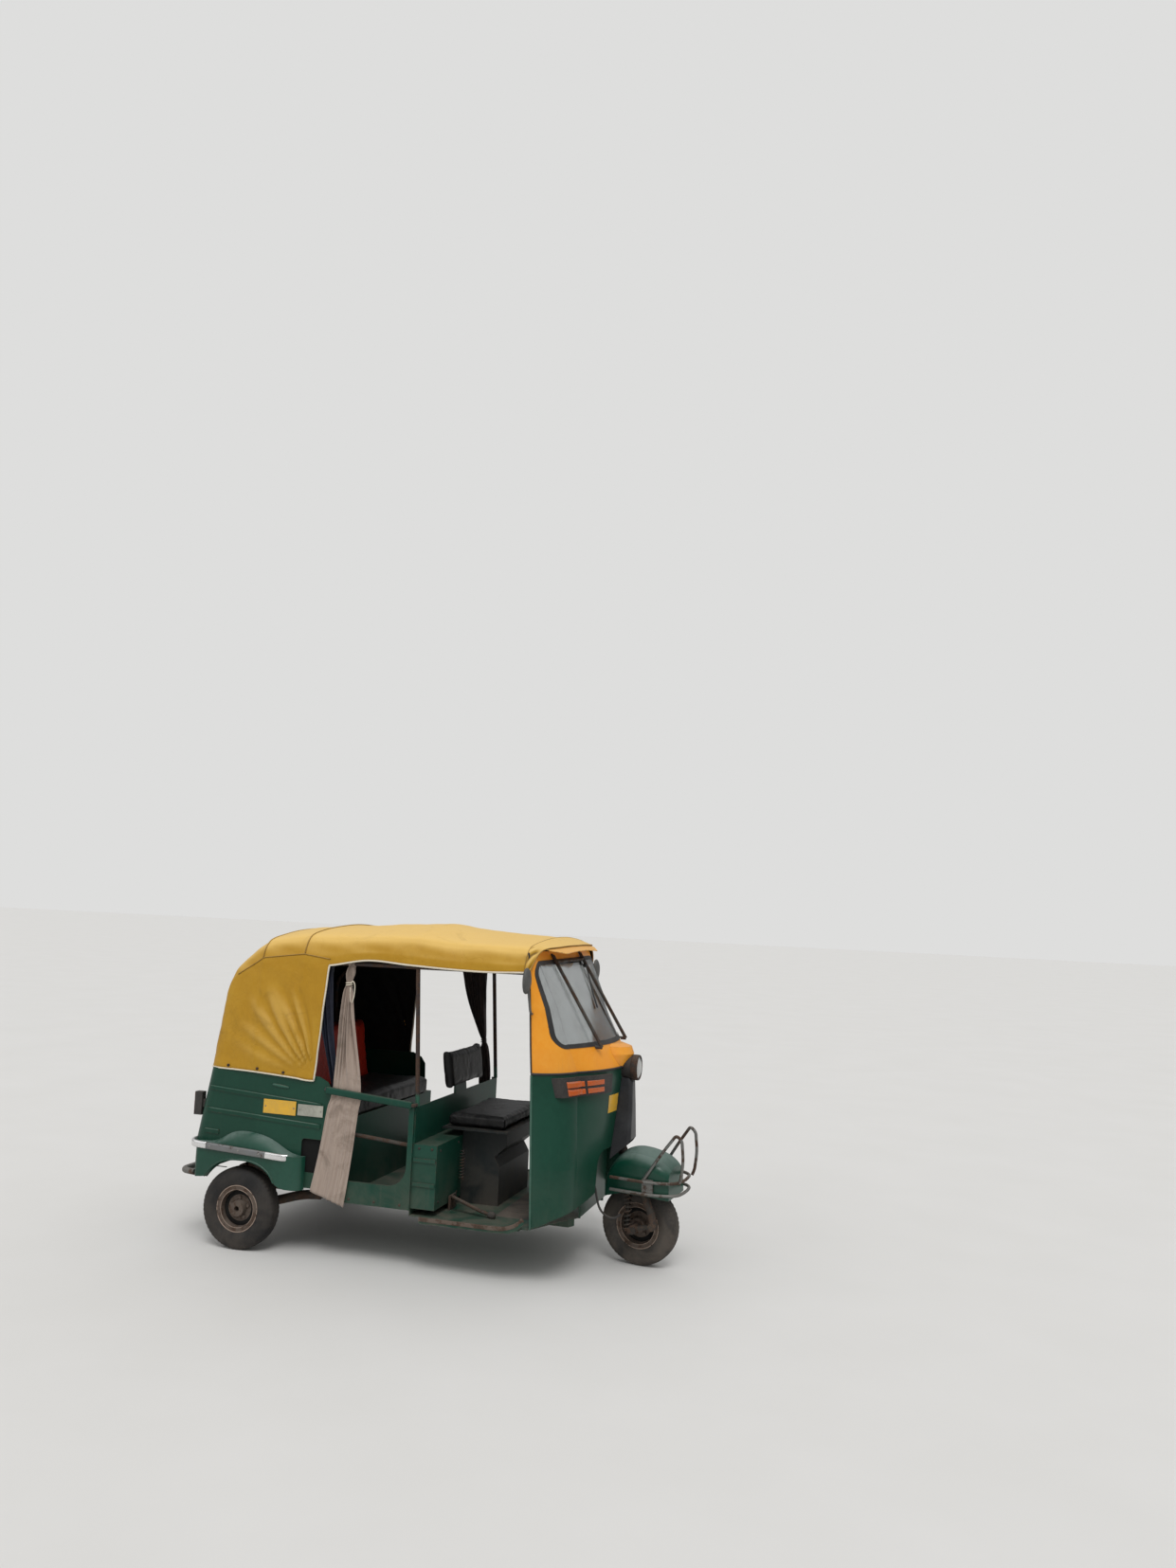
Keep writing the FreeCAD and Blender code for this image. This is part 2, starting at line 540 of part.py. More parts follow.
def hoop_wire(row, foot_z, step):
    foot, top, half, shoulder, shoulder_z, crown, crown_z, top_z = row

    def place(y, height):
        return (foot + (top - foot) * (height - foot_z) / (top_z - foot_z), y, height)

    half, shoulder, crown = half - step, shoulder - step, crown - 0.6 * step
    shoulder_z, crown_z, top_z = shoulder_z - 0.4 * step, crown_z - 0.9 * step, top_z - step
    bulge_y = (shoulder + crown) / 2 + 0.2 * (shoulder - crown)
    bulge_z = (shoulder_z + crown_z) / 2 + 0.22 * (crown_z - shoulder_z)
    a, b = place(-half, foot_z), place(-shoulder, shoulder_z)
    m, c = place(-bulge_y, bulge_z), place(-crown, crown_z)
    flip = [(p[0], -p[1], p[2]) for p in (a, b, m, c)]
    return Part.Wire([line(a, b), arc(b, m, c), arc(c, place(0, top_z), flip[3]),
                      arc(flip[3], flip[2], flip[1]), line(flip[1], flip[0]), line(flip[0], a)])


outer = Part.makeLoft([hoop_wire(row, canopy_foot, 0) for row in hoops], True, True)
inner_hoops = [(row[0] + (12 if i == 0 else 0) + (6 if i == len(hoops) - 1 else 0),
                row[1] + (12 if i == 0 else 0) + (6 if i == len(hoops) - 1 else 0)) + row[2:]
               for i, row in enumerate(hoops)]
inner = Part.makeLoft([hoop_wire(row, canopy_foot, z.canopy_wall) for row in inner_hoops], True, True)
below = block(-1400, 700, -wide, wide, canopy_foot - 10, canopy_foot)
door_cut = side_prism([(-556, 880), (-548, 1275), (-524, 1470), (-500, 1500), (-380, 1516), (183, 1493),
                       (518, 1490), (640, 1490), (640, 880)], wide)
canopy = outer.cut(inner).cut(door_cut).cut(below)
shape_part("canopy", canopy)


# tub: open-fronted shell with rounded rear corners
waist_z, waist_rear_x, top_rear_x = 532, -1247, -1186
tub_rows = [(z.tub_foot_z, -1252, z.body_half - 6), (waist_z, waist_rear_x, z.body_half),
            (z.tub_top_z, top_rear_x, z.body_half - 8)]


def tub_loft(depth, front, low=0, high=0):
    wires = []
    for height, rear, half in tub_rows:
        height = height - low if height == z.tub_foot_z else height + high if height == z.tub_top_z else height
        half, rear, r = half - depth, rear + depth, z.tub_corner - depth
        k = r * (1 - math.sqrt(0.5))
        edges = [line((front, -half, height), (rear + r, -half, height)),
                 arc((rear + r, -half, height), (rear + k, -half + k, height), (rear, -half + r, height)),
                 line((rear, -half + r, height), (rear, half - r, height)),
                 arc((rear, half - r, height), (rear + k, half - k, height), (rear + r, half, height)),
                 line((rear + r, half, height), (front, half, height)),
                 line((front, half, height), (front, -half, height))]
        wires.append(Part.Wire(edges))
    return Part.makeLoft(wires, True, True)


tub = tub_loft(0, z.door_rear_x).cut(tub_loft(z.panel, z.door_rear_x + 20, 5, 5))
front_rounding = side_prism([(-533, z.tub_top_z + 1), (-478, 884), (-452, 846), (-446, 700), (-440, 560),
                             (-430, 560), (-430, 960), (-533, 960)], wide)
tub = tub.cut(front_rounding)
wheel_arch = Part.makeCylinder(z.arch_radius, 2 * wide, vec(z.rear_axle_x, -wide, z.tyre_radius), vec(0, 1, 0))
tub = tub.cut(wheel_arch)
lid_hole = block(-1300, -1100, -z.lid_half, z.lid_half, z.lid_low_z, z.lid_high_z)
tub = tub.cut(lid_hole)
tub = tub.cut(rounded_prism(z.vent_rear_x, z.vent_front_x, z.vent_low_z, z.vent_high_z, z.vent_corner, wide))
# pressed ribs falling towards the front: rear x and z, front x and z of the middle line
rib_lines = [(-1176, 806, -505, 762), (-1176, 692, -505, 658), (-1176, 583, -1092, 580)]
ribs = []
for rear_x, rear_z, front_end_x, front_z in rib_lines:
    corners = [(rear_x, rear_z - z.rib_half), (front_end_x, front_z - z.rib_half),
               (front_end_x, front_z + z.rib_half), (rear_x, rear_z + z.rib_half)]
    ribs.append(prism([(x, -z.body_half - 5, height) for x, height in corners], vec(0, 1, 0), z.panel + 7))
rib_pair = [r.common(tub_loft(-5, z.door_rear_x)).cut(tub_loft(1, z.door_rear_x + 20, 5, 5)) for r in ribs]
tub = joined([tub] + rib_pair + [mirror(r) for r in rib_pair])

# engine lid in the rear wall, with louvres
lid = tub_loft(-1, z.door_rear_x).cut(tub_loft(z.lid_wall - 1, z.door_rear_x + 20, 5, 5))
gap = z.lid_gap
lid = lid.common(block(-1300, -1100, -z.lid_half + gap, z.lid_half - gap, z.lid_low_z + gap, z.lid_high_z - gap))
louvres = Part.makeCompound([block(-1300, -1100, -200, 200, 500 + 40 * i, 512 + 40 * i) for i in range(5)])
wall_share = (z.lid_high_z - waist_z) / (z.tub_top_z - waist_z)
pin_x = waist_rear_x + wall_share * (top_rear_x - waist_rear_x) - z.hinge_gap
pin_z = z.lid_high_z + 2
knuckle_y = 180
knuckle = rod((pin_x, -knuckle_y - 50, pin_z), (pin_x, -knuckle_y, pin_z), 8)
leaf = prism([(pin_x - 6, -knuckle_y - 50, pin_z - 4), (pin_x + 5.5, -knuckle_y - 50, pin_z - 6),
              (pin_x + 4.6, -knuckle_y - 50, pin_z - 36), (pin_x - 3, -knuckle_y - 50, pin_z - 36)], vec(0, 1, 0), 50)
pin_hole = rod((pin_x, -wide, pin_z), (pin_x, wide, pin_z), 4.3)
lid = joined([lid.cut(louvres), knuckle, leaf, mirror(knuckle), mirror(leaf)]).cut(pin_hole)
shape_part("engine_lid", lid)
ears = [rod((pin_x, -knuckle_y - 60, pin_z), (pin_x, -knuckle_y + 10, pin_z), 4)]
for ear_y in (-knuckle_y - 60, -knuckle_y + 2):
    ears.append(block(pin_x - 6, pin_x + 22, ear_y, ear_y + 8, pin_z - 6, pin_z + 16))
ears = [e.cut(tub_loft(z.panel - 1, z.door_rear_x + 20, 5, 5)) for e in ears]
tub = joined([tub] + ears + [mirror(e) for e in ears])
shape_part("rear_tub", tub)

# rear fenders: a dome pressed out of the tub side above a belt line, a skirt below it with a wheel arch
dome_line = [(-1250, 531), (-1170, 529), (-1096, 540), (-1005, 586), (-940, 598), (-873, 595), (-762, 566),
             (-674, 521), (-576, 505)]
belt_rear_z, belt_front_z = 531, 505
fender_front_x, fender_rear_x = dome_line[-1][0], dome_line[0][0]
# share of the depth, share of the dome's rise left there, how far the front end is drawn back
dome_steps = [(0, 1, 0), (0.5, 0.8, 4), (0.85, 0.42, 18), (1, 0, 46)]


def belt_z(x):
    return belt_rear_z + (belt_front_z - belt_rear_z) * (x - fender_rear_x) / (fender_front_x - fender_rear_x)


def fender_loft(inset):
    wires = []
    for share, rise, drawn in dome_steps:
        y = -z.body_half - 0.3 - (z.fender_depth - 0.3 - inset) * share
        front = fender_front_x - drawn - inset
        stretch_x = (front - fender_rear_x) / (fender_front_x - fender_rear_x)
        top = [(fender_rear_x + (x - fender_rear_x) * stretch_x, y, belt_z(x) + (height - belt_z(x)) * rise - inset)
               for x, height in dome_line]
        foot = 320 if inset else 338
        wires.append(Part.Wire([curve(top), line(top[-1], (front, y, foot)), line((front, y, foot), (fender_rear_x, y, foot)),
                                line((fender_rear_x, y, foot), top[0])]))
    return Part.makeLoft(wires, True, False)


arch_line = [(-1212, 338), (-1199, 349), (-1129, 362), (-1064, 429), (-1020, 450), (-942, 462), (-831, 452),
             (-766, 419), (-723, 364), (-676, 341), (-655, 338)]
arch_edge = curve([(x, -fender_half - 20, height) for x, height in arch_line])
arch_foot = [(arch_line[-1][0], -fender_half - 20, 300), (arch_line[0][0], -fender_half - 20, 300)]
arch_space = Part.Face(Part.Wire([arch_edge, line((arch_line[-1][0], -fender_half - 20, arch_line[-1][1]), arch_foot[0]),
                                  line(arch_foot[0], arch_foot[1]),
                                  line(arch_foot[1], (arch_line[0][0], -fender_half - 20, arch_line[0][1]))]))
arch_space = arch_space.extrude(vec(0, 90, 0))
corner_plan = [line((-560, -z.body_half, 300), (-560, -fender_half - 10, 300)),
               line((-560, -fender_half - 10, 300), (-1140, -fender_half - 10, 300)),
               arc((-1140, -fender_half - 10, 300), (-1206, -fender_half + 20, 300), (-1238, -z.body_half + 26, 300)),
               line((-1238, -z.body_half + 26, 300), (-1238, -z.body_half + 95, 300)),
               line((-1238, -z.body_half + 95, 300), (-560, -z.body_half, 300))]
corner_space = Part.Face(Part.Wire(corner_plan)).extrude(vec(0, 0, 400))
fender = fender_loft(0).cut(fender_loft(z.fender_wall)).cut(arch_space).common(corner_space)
lip_points = [(x, -fender_half + 1, height) for x, height in arch_line[2:-2]]
lip_edge = Part.Wire([curve(lip_points)])
lip_way = vec(*lip_points[1]) - vec(*lip_points[0])
lip_ring = Part.Wire(Part.makeCircle(5, vec(*lip_points[0]), lip_way))
arch_lip = lip_edge.makePipeShell([lip_ring], True, False, 2)
fender = joined([max(fender.Solids, key=lambda s: s.Volume), arch_lip]).cut(tub_loft(-0.3, z.door_rear_x))
shape_part("rear_fenders", pair(max(fender.Solids, key=lambda s: s.Volume)))

# rear bumper tube with two stays to the tub
bx, bz, bh = z.bumper_rear_x + z.bumper_radius, z.bumper_z, bumper_half
bumper = tube([(bx + 90, -bh, bz), (bx, -bh + 20, bz), (bx, bh - 20, bz), (bx + 90, bh, bz)], z.bumper_radius)
stays = [rod((bx, y, bz), (-1180, y, bz), 10) for y in (-360, 360)]
bracket = block(bx - 2, bx + 2, -z.bracket_half, z.bracket_half, bz + 8, z.bracket_top_z)
bracket_holes = [rod((bx - 10, y, z.bracket_hole_z), (bx + 10, y, z.bracket_hole_z), z.bracket_hole_radius)
                 for y in (-z.bracket_spacing / 2, z.bracket_spacing / 2)]
bumper = joined([bumper, bracket] + stays).cut(Part.makeCompound(bracket_holes)).cut(tub_loft(-0.3, z.door_rear_x))
shape_part("rear_bumper", max(bumper.Solids, key=lambda s: s.Volume))

# tail lamps on the rear corners
tail = block(-1272, -1228, -z.body_half + 32, -z.body_half + 68, 650, 770)
tail = tail.fuse(block(-1228, -1150, -z.body_half + 42, -z.body_half + 58, 690, 730)).cut(tub_loft(-0.3, z.door_rear_x))
shape_part("tail_lamps", pair(max(tail.Solids, key=lambda s: s.Volume)))

# partition box and panel between the passengers and the driver
divider = body("partition")
pad(divider, "XZ_Plane", [("partition_x+0.3", "cabin_floor_z"), ("box_front_x", "cabin_floor_z"),
                          ("box_front_x", "box_top_z"), ("partition_x+sheet+0.3", "box_top_z"),
                          ("partition_x+sheet+0.3", "rail_top_z"), ("partition_x+0.3", "rail_top_z")],
    "2*(body_half-sill_depth)")
for rib_foot in (110, 228):
    low = "cabin_floor_z+%d" % rib_foot
    high = "cabin_floor_z+%d" % (rib_foot + 18)
    pad(divider, "XZ_Plane", [("partition_x+6", low), ("box_front_x-4", low), ("box_front_x-4", high),
                              ("partition_x+6", high)], "2*(body_half-sill_depth+rib_depth)")
pad(divider, "XZ_Plane", [("partition_x+0.3", "rail_top_z-2"), ("partition_x+12.3", "rail_top_z-2"),
                          ("partition_x+7.7", "driver_pad_low_z"),
                          ("partition_x-8.2", "driver_pad_low_z+110"),
                          ("partition_x-16.2", "driver_pad_low_z+110"),
                          ("partition_x-0.3", "driver_pad_low_z")], "160")
doc.recompute()
keep(divider, "partition")

# tube frame: door posts, roof rails, hoops
frame_tubes = []
rail_y = z.body_half - z.roof_rail_inset
for side in (-1, 1):
    frame_tubes.append(rod((z.post_foot_x, side * post_half, z.rail_top_z + 1),
                           (z.post_top_x, side * (rail_y + 6), z.roof_rail_z - 8), z.hoop_radius))
    frame_tubes.append(tube([(-1040, side * (rail_y - 7), 912), (-1050, side * (rail_y - 22), 1340),
                             (-900, side * (rail_y - 4), 1440), (-560, side * (rail_y + 2), z.roof_rail_z - 8),
                             (556, side * rail_y, z.roof_rail_z)], z.hoop_radius))
for row in (hoops[2], hoops[3], hoops[4]):
    foot, top, half, shoulder, shoulder_z, crown, crown_z, top_z = row
    x = top
    r = z.hoop_radius + z.canopy_wall + 2
    frame_tubes.append(tube([(x, -shoulder + r + 6, shoulder_z - 14), (x, -crown + 10, crown_z - r - 2),
                             (x, 0, top_z - r), (x, crown - 10, crown_z - r - 2),
                             (x, shoulder - r - 6, shoulder_z - 14)], z.hoop_radius))
frame = joined(frame_tubes)
shape_part("hoop_frame", max(frame.Solids, key=lambda s: s.Volume) if len(frame.Solids) > 1 else frame)

# guard rails across the right-hand doorway
rest_z = z.rail_top_z + 9.6
rail_top = tube([(-486, -z.body_half + 6.5, rest_z + 41), (-478, -z.body_half - 14, rest_z + 39),
                 (14.5, -z.body_half - 14, rest_z), (14.5, -post_half - z.hoop_radius - 0.3, rest_z)], 9)
low_y = -z.body_half + 38
rail_low = rod((z.base_front_x - 5, low_y, 636), (z.partition_x + 5, low_y, 603), 10)
rail_top = rail_top.cut(tub_loft(-0.3, z.door_rear_x))
rail_low = rail_low.cut(block(z.partition_x, 60, -wide, 0, 560, 660))
rail_low = rail_low.cut(block(-500, z.base_front_x + 0.3, -wide, 0, 560, 700))
shape_part("guard_rails", Part.makeCompound([rail_top, rail_low]))

# seats
seat_rows = [
    ("passenger_seat", [("seat_rear_x", "seat_base_z+pad_gap"), ("seat_front_x", "seat_base_z+pad_gap"),
                        ("seat_front_x", "seat_top_z"), ("seat_rear_x", "seat_top_z")], "2*seat_half"),
    ("passenger_backrest", [("seat_rear_x-back_wall-40", "seat_base_z+20"), ("seat_rear_x-pad_gap", "seat_base_z+20"),
                            ("seat_rear_x-60", "back_top_z"), ("seat_rear_x-back_wall-60", "back_top_z")],
     "2*seat_half"),
    ("seat_base", [("base_front_x-sheet", "cabin_floor_z"), ("base_front_x", "cabin_floor_z"),
                   ("base_front_x", "seat_base_z"), ("seat_rear_x-120", "seat_base_z"),
                   ("seat_rear_x-120", "seat_base_z-sheet"), ("base_front_x-sheet", "seat_base_z-sheet")],
     "2*(seat_half+60)"),
    ("driver_seat_box", [("box_front_x+0.3", "floor_z+sheet"), ("driver_front_x-53", "floor_z+sheet"),
                         ("driver_front_x-53", "driver_base_z-195"), ("driver_front_x-83", "driver_base_z-145"),
                         ("driver_front_x-17", "driver_base_z-85"), ("driver_front_x-17", "driver_base_z"),
                         ("box_front_x+0.3", "driver_base_z")], "2*driver_box_half"),
    ("driver_seat", [("driver_rear_x", "driver_base_z+pad_gap"), ("driver_front_x", "driver_base_z+pad_gap"),
                     ("driver_front_x", "driver_top_z"), ("driver_rear_x", "driver_top_z")], "2*driver_half"),
    ("driver_backrest", [("partition_x+8", "driver_pad_low_z"), ("partition_x+8+driver_pad_wall", "driver_pad_low_z"),
                         ("partition_x-22+driver_pad_wall", "driver_pad_high_z"),
                         ("partition_x-22", "driver_pad_high_z")], "2*driver_pad_half"),
]
# the pan that the driver's cushion lies in stands out round the box
pan_points = [("driver_rear_x-pan_lip", "driver_base_z-pan_depth"), ("driver_front_x+pan_lip", "driver_base_z-pan_depth"),
              ("driver_front_x+pan_lip", "driver_base_z"), ("driver_rear_x-pan_lip", "driver_base_z")]
for label, points, length in seat_rows:
    piece = body(label)
    pad(piece, "XZ_Plane", points, length)
    if label == "driver_seat_box":
        pad(piece, "XZ_Plane", pan_points, "2*(driver_half+pan_lip)")
    doc.recompute()
    keep(piece, label)

# engine block, muffler, rear arms and springs
motor = body("engine")
pad(motor, "XZ_Plane", [("engine_rear_x", "engine_low_z+60"), ("engine_rear_x+60", "engine_low_z"),
                        ("engine_front_x-40", "engine_low_z"), ("engine_front_x", "engine_low_z+60"),
                        ("engine_front_x", "engine_high_z"), ("engine_rear_x", "engine_high_z")], "2*engine_half")
doc.recompute()
keep(motor, "engine")
muffler_x = z.engine_rear_x - 40
muffler = rod((muffler_x, -z.muffler_half, 285), (muffler_x, z.muffler_half, 285), z.muffler_radius)
pipe = tube([(muffler_x, -z.muffler_half + 30, 285), (muffler_x, -z.muffler_half - 60, 285),
             (muffler_x - 80, -z.muffler_half - 90, 262)], 18)
header = rod((muffler_x - 5, 60, 285), (z.engine_rear_x + 1, 60, 300), 16)
shape_part("exhaust", joined([muffler, pipe, header]).cut(motor.Shape))

arms = []
pivot_z = z.floor_z - 10
hub_y = z.track / 2 - z.hub_face
arm = tube([(z.arm_pivot_x, -z.beam_half - 60, pivot_z), (-700, -z.beam_half - 70, pivot_z - 6),
            (-850, -hub_y + 60, z.tyre_radius + 10), (z.rear_axle_x, -hub_y + 40, z.tyre_radius)], z.arm_radius)
cross = rod((z.arm_pivot_x, -z.beam_half - 84, pivot_z), (z.arm_pivot_x, -z.beam_half - 25.3, pivot_z), 20)
stub = rod((z.rear_axle_x, -hub_y + 70, z.tyre_radius), (z.rear_axle_x, -hub_y, z.tyre_radius), 30)
shaft = rod((z.rear_axle_x, -z.engine_half - 0.3, z.tyre_radius + 60), (z.rear_axle_x, -hub_y + 66, z.tyre_radius), 13)
spindle = rod((z.rear_axle_x, -hub_y, z.tyre_radius), (z.rear_axle_x, -z.track / 2 + 10, z.tyre_radius), z.bore_radius - 1)
spring_y = -hub_y + 60
spring_x = z.rear_axle_x + 92
seat_plate = rod((spring_x, spring_y, z.tyre_radius + 16), (spring_x, spring_y, z.tyre_radius + 46 - z.pad_gap), 34)
arm = joined([arm, cross, stub, shaft, spindle, seat_plate])
motor_space = block(z.engine_rear_x, z.engine_front_x + 0.3, -z.engine_half - 0.3, 0, z.engine_low_z, z.engine_high_z)
arm = arm.cut(motor_space)
shape_part("rear_arms", pair(arm))
coil = rod((spring_x, spring_y, z.tyre_radius + 46), (spring_x, spring_y, kick_low - z.pad_gap), 30)
shape_part("rear_springs", pair(coil))

# mirrors on arms from the cowl pillars
mirror_head = Part.makeSphere(1, vec(0, 0, 0))
stretch = FreeCAD.Matrix()
stretch.scale(vec(22, 42, 64))
mirror_head = mirror_head.transformGeometry(stretch)
mirror_y = -z.body_half - 42
mirror_head.translate(vec(588, mirror_y, 1464))
mirror_head = mirror_head.cut(block(500, 580, mirror_y - 80, mirror_y + 80, 1380, 1560))
mirror_arm = tube([(600, -z.body_half + 32, 1300), (612, mirror_y + 12, 1306), (600, mirror_y, 1420)], 6)
mirror_part = joined([mirror_head, mirror_arm]).cut(front_core(cowl_rows, -0.3))
shape_part("mirrors", pair(max(mirror_part.Solids, key=lambda s: s.Volume)))

# hand lever and pedal
lever = tube([(156, -380, 330), (176, -430, 345), (349, -470, 300), (400, -474, 290)], 9)
lever = lever.fuse(Part.makeSphere(17, vec(405, -474, 290)))
lever = lever.fuse(block(z.box_front_x + 8, z.box_front_x + 20, -420, -340, z.floor_z + z.sheet, 345)).removeSplitter()
pedal = block(640, 650, -150, -90, 340, 400).fuse(rod((700, -120, z.floor_z), (645, -120, 360), 7)).removeSplitter()
pedal = pedal.cut(floor_shape)
shape_part("driver_controls", Part.makeCompound([lever, pedal]))

# curtains, plain closed solids
# label, then x, how far outside the body side, z, half length, half depth
top_z = z.roof_rail_z - 8 - z.hoop_radius - z.pad_gap
curtain_rows = [
    ("curtain_dark", [(-528, -42, top_z, 16, 18), (-432, -42, 912, 22, 18)]),
    ("curtain_beige", [(-400, -42, top_z, 12, 14), (-390, -26, 1390, 14, 12), (-365, 2.4, 870, 78, 2),
                       (-372, 2.4, 800, 79, 2), (-380, 8, 745, 80, 4), (-440, 8, 306, 102, 4)]),
    ("curtain_brown", [(-150, 43, top_z + 2.3, 90, 12), (-60, 53, 1010, 14, 12), (-40, 53, 690, 24, 12)]),
]
for label, rows in curtain_rows:
    wires = []
    for x, out, height, half, depth in rows:
        y = z.body_half - out if label == "curtain_brown" else -z.body_half - out
        wires.append(Part.makePolygon([vec(x - half, y - depth, height), vec(x + half, y - depth, height),
                                       vec(x + half, y + depth, height), vec(x - half, y + depth, height),
                                       vec(x - half, y - depth, height)]))
    shape_part(label, Part.makeLoft(wires, True, True))


# steering group
column = rod(on_axis(560), on_axis(z.column_top_z), z.column_radius)
shape_part("steering_column", column)
top = on_axis(z.column_top_z)
bar_x = top.x
grip_x = bar_x - z.bar_sweep
bar = tube([(grip_x, -z.bar_half, top.z + 14), (grip_x + 40, -z.bar_half + 100, top.z + 16),
            (bar_x, -60, top.z + 12), (bar_x, 60, top.z + 12), (grip_x + 40, z.bar_half - 100, top.z + 16),
            (grip_x, z.bar_half, top.z + 14)], z.bar_radius)
grips = [rod((grip_x + 16, s * (z.bar_half - z.grip_length + 60), top.z + 14.6),
             (grip_x, s * z.bar_half, top.z + 14), z.grip_radius) for s in (-1, 1)]
bar = joined([bar] + grips + [rod(on_axis(z.column_top_z), on_axis(z.column_top_z + 24), z.column_radius)]).cut(column)
shape_part("handlebar", bar)


pivot_x, side = front_x + z.pivot_ahead, -z.leg_side
axle_z = z.tyre_radius + z.camber_lift
crown = on_axis(590)
spring_x = front_x - z.spring_behind
leg = tube([(crown.x, 0, crown.z), (1005, -50, 520), (1096, side + 4, 440), (1132, side, 360),
            (pivot_x, side, 292), (pivot_x + 6, side, z.pivot_z)], z.fork_radius)
hanger = rod((spring_x, side, z.spring_top_z + 8), (1100, side, z.spring_top_z + 2), 12)
link = rod((pivot_x + 6, side, z.pivot_z), (front_x, side, axle_z), z.link_radius)
heel = rod((front_x, side, axle_z), (spring_x, side, z.spring_foot_z), z.link_radius)
boss = rod((front_x, side - 24, axle_z), (front_x, -z.hub_face, axle_z), 22)
pin = rod((pivot_x + 6, side - 24, z.pivot_z), (pivot_x + 6, side + 22, z.pivot_z), 19)
spindle = rod((front_x, -z.hub_face, axle_z), (front_x, z.hub_face - 8, axle_z), z.bore_radius - 1)
socket = rod(on_axis(560), on_axis(600), z.column_radius + 6)
fork = joined([leg, hanger, link, heel, boss, pin, spindle, socket]).cut(column)
shape_part("front_fork", steered(max(fork.Solids, key=lambda s: s.Volume)))
spring_foot = (spring_x, side, z.spring_foot_z + z.link_radius + z.pad_gap)
spring = rod(spring_foot, (spring_x, side, z.spring_top_z - 4.7), z.spring_radius)
heel_space = rod((front_x, side, axle_z), (spring_x, side, z.spring_foot_z), z.link_radius + z.pad_gap)
hanger_space = rod((spring_x, side, z.spring_top_z + 8), (1100, side, z.spring_top_z + 2), 12 + z.pad_gap)
boss_space = rod((front_x, side - 24, axle_z), (front_x, -z.hub_face, axle_z), 22 + z.pad_gap)
shape_part("front_spring", steered(spring.cut(heel_space).cut(hanger_space).cut(boss_space)))

# front mudguard: same columns as the hoops
guard_rows = [
    (900, 906, 106, 100, 432, 60, 468, 480),
    (940, 948, 122, 118, 490, 70, 540, 556),
    (1010, 1016, 128, 124, 524, 72, 582, 598),
    (1110, 1110, 128, 124, 524, 72, 584, 602),
    (1200, 1192, 122, 118, 500, 66, 562, 576),
    (1256, 1250, 104, 98, 470, 56, 518, 530),
]
skirt_z = z.guard_skirt_z
helmet = Part.makeLoft([hoop_wire(row, skirt_z, 0) for row in guard_rows], True, False)
inner_rows = [(row[0] + (4 if i == 0 else -4 if i == 5 else 0), row[1] + (4 if i == 0 else -4 if i == 5 else 0)) + row[2:]
              for i, row in enumerate(guard_rows)]
helmet_inner = Part.makeLoft([hoop_wire(row, skirt_z, z.guard_wall) for row in inner_rows], True, False)
helmet = helmet.cut(helmet_inner)
helmet = helmet.cut(side_prism([(880, 340), (880, 352), (1000, 392), (1160, 392), (1270, 376), (1270, 340)], 200))
leg_way = tube([(crown.x, 0, crown.z), (1005, -50, 520), (1096, side + 4, 440), (1132, side, 360),
                (pivot_x, side, 292), (pivot_x + 6, side, z.pivot_z)], z.fork_radius + 0.3)
helmet = helmet.cut(Part.makeCylinder(z.column_radius + 6.3, 700, on_axis(300), axis_dir)).cut(leg_way)
shape_part("front_mudguard", steered(max(helmet.Solids, key=lambda s: s.Volume)))

# crash guard: two rails round the mudguard, plates and side loops
rails = []
rail_side = z.guard_half + z.rail_radius + 3
for height in (z.rail_low_z, z.rail_high_z):
    rails.append(tube([(944, -rail_side - 4, height), (1170, -rail_side - 6, height), (1296, -100, height),
                       (1310, 0, height), (1296, 100, height), (1170, rail_side + 6, height),
                       (944, rail_side + 4, height)], z.rail_radius))
for s in (-1, 1):
    rails.append(block(1120, 1180, min(s * 128.3, s * 140), max(s * 128.3, s * 140), z.rail_low_z - 6, z.rail_high_z + 12))
    rails.append(tube([(1126, s * 134, z.rail_high_z + 4), (1214, s * 118, 610), (1292, s * 100, 716), (1322, s * 98, 690),
                       (1330, s * 98, 590), (1318, s * 96, 500), (1306, s * 92, z.rail_high_z)], z.rail_radius, 0.4))
crash = joined(rails)
crash = crash.cut(helmet)
shape_part("front_guard", steered(max(crash.Solids, key=lambda s: s.Volume)))

# hose from the well down to the wheel
hose_points = [(z.well_x + z.pad_gap, -176, 452), (822, -176, 452), (846, -176, 432), (858, -175, 396), (866, -174, 352),
               (880, -173, 306), (908, -172, 276), (944, -170, 262), (974, -165, 268), (988, -158, 286)]
hose = tube(hose_points, 5.5)
shape_part("brake_hose", hose)


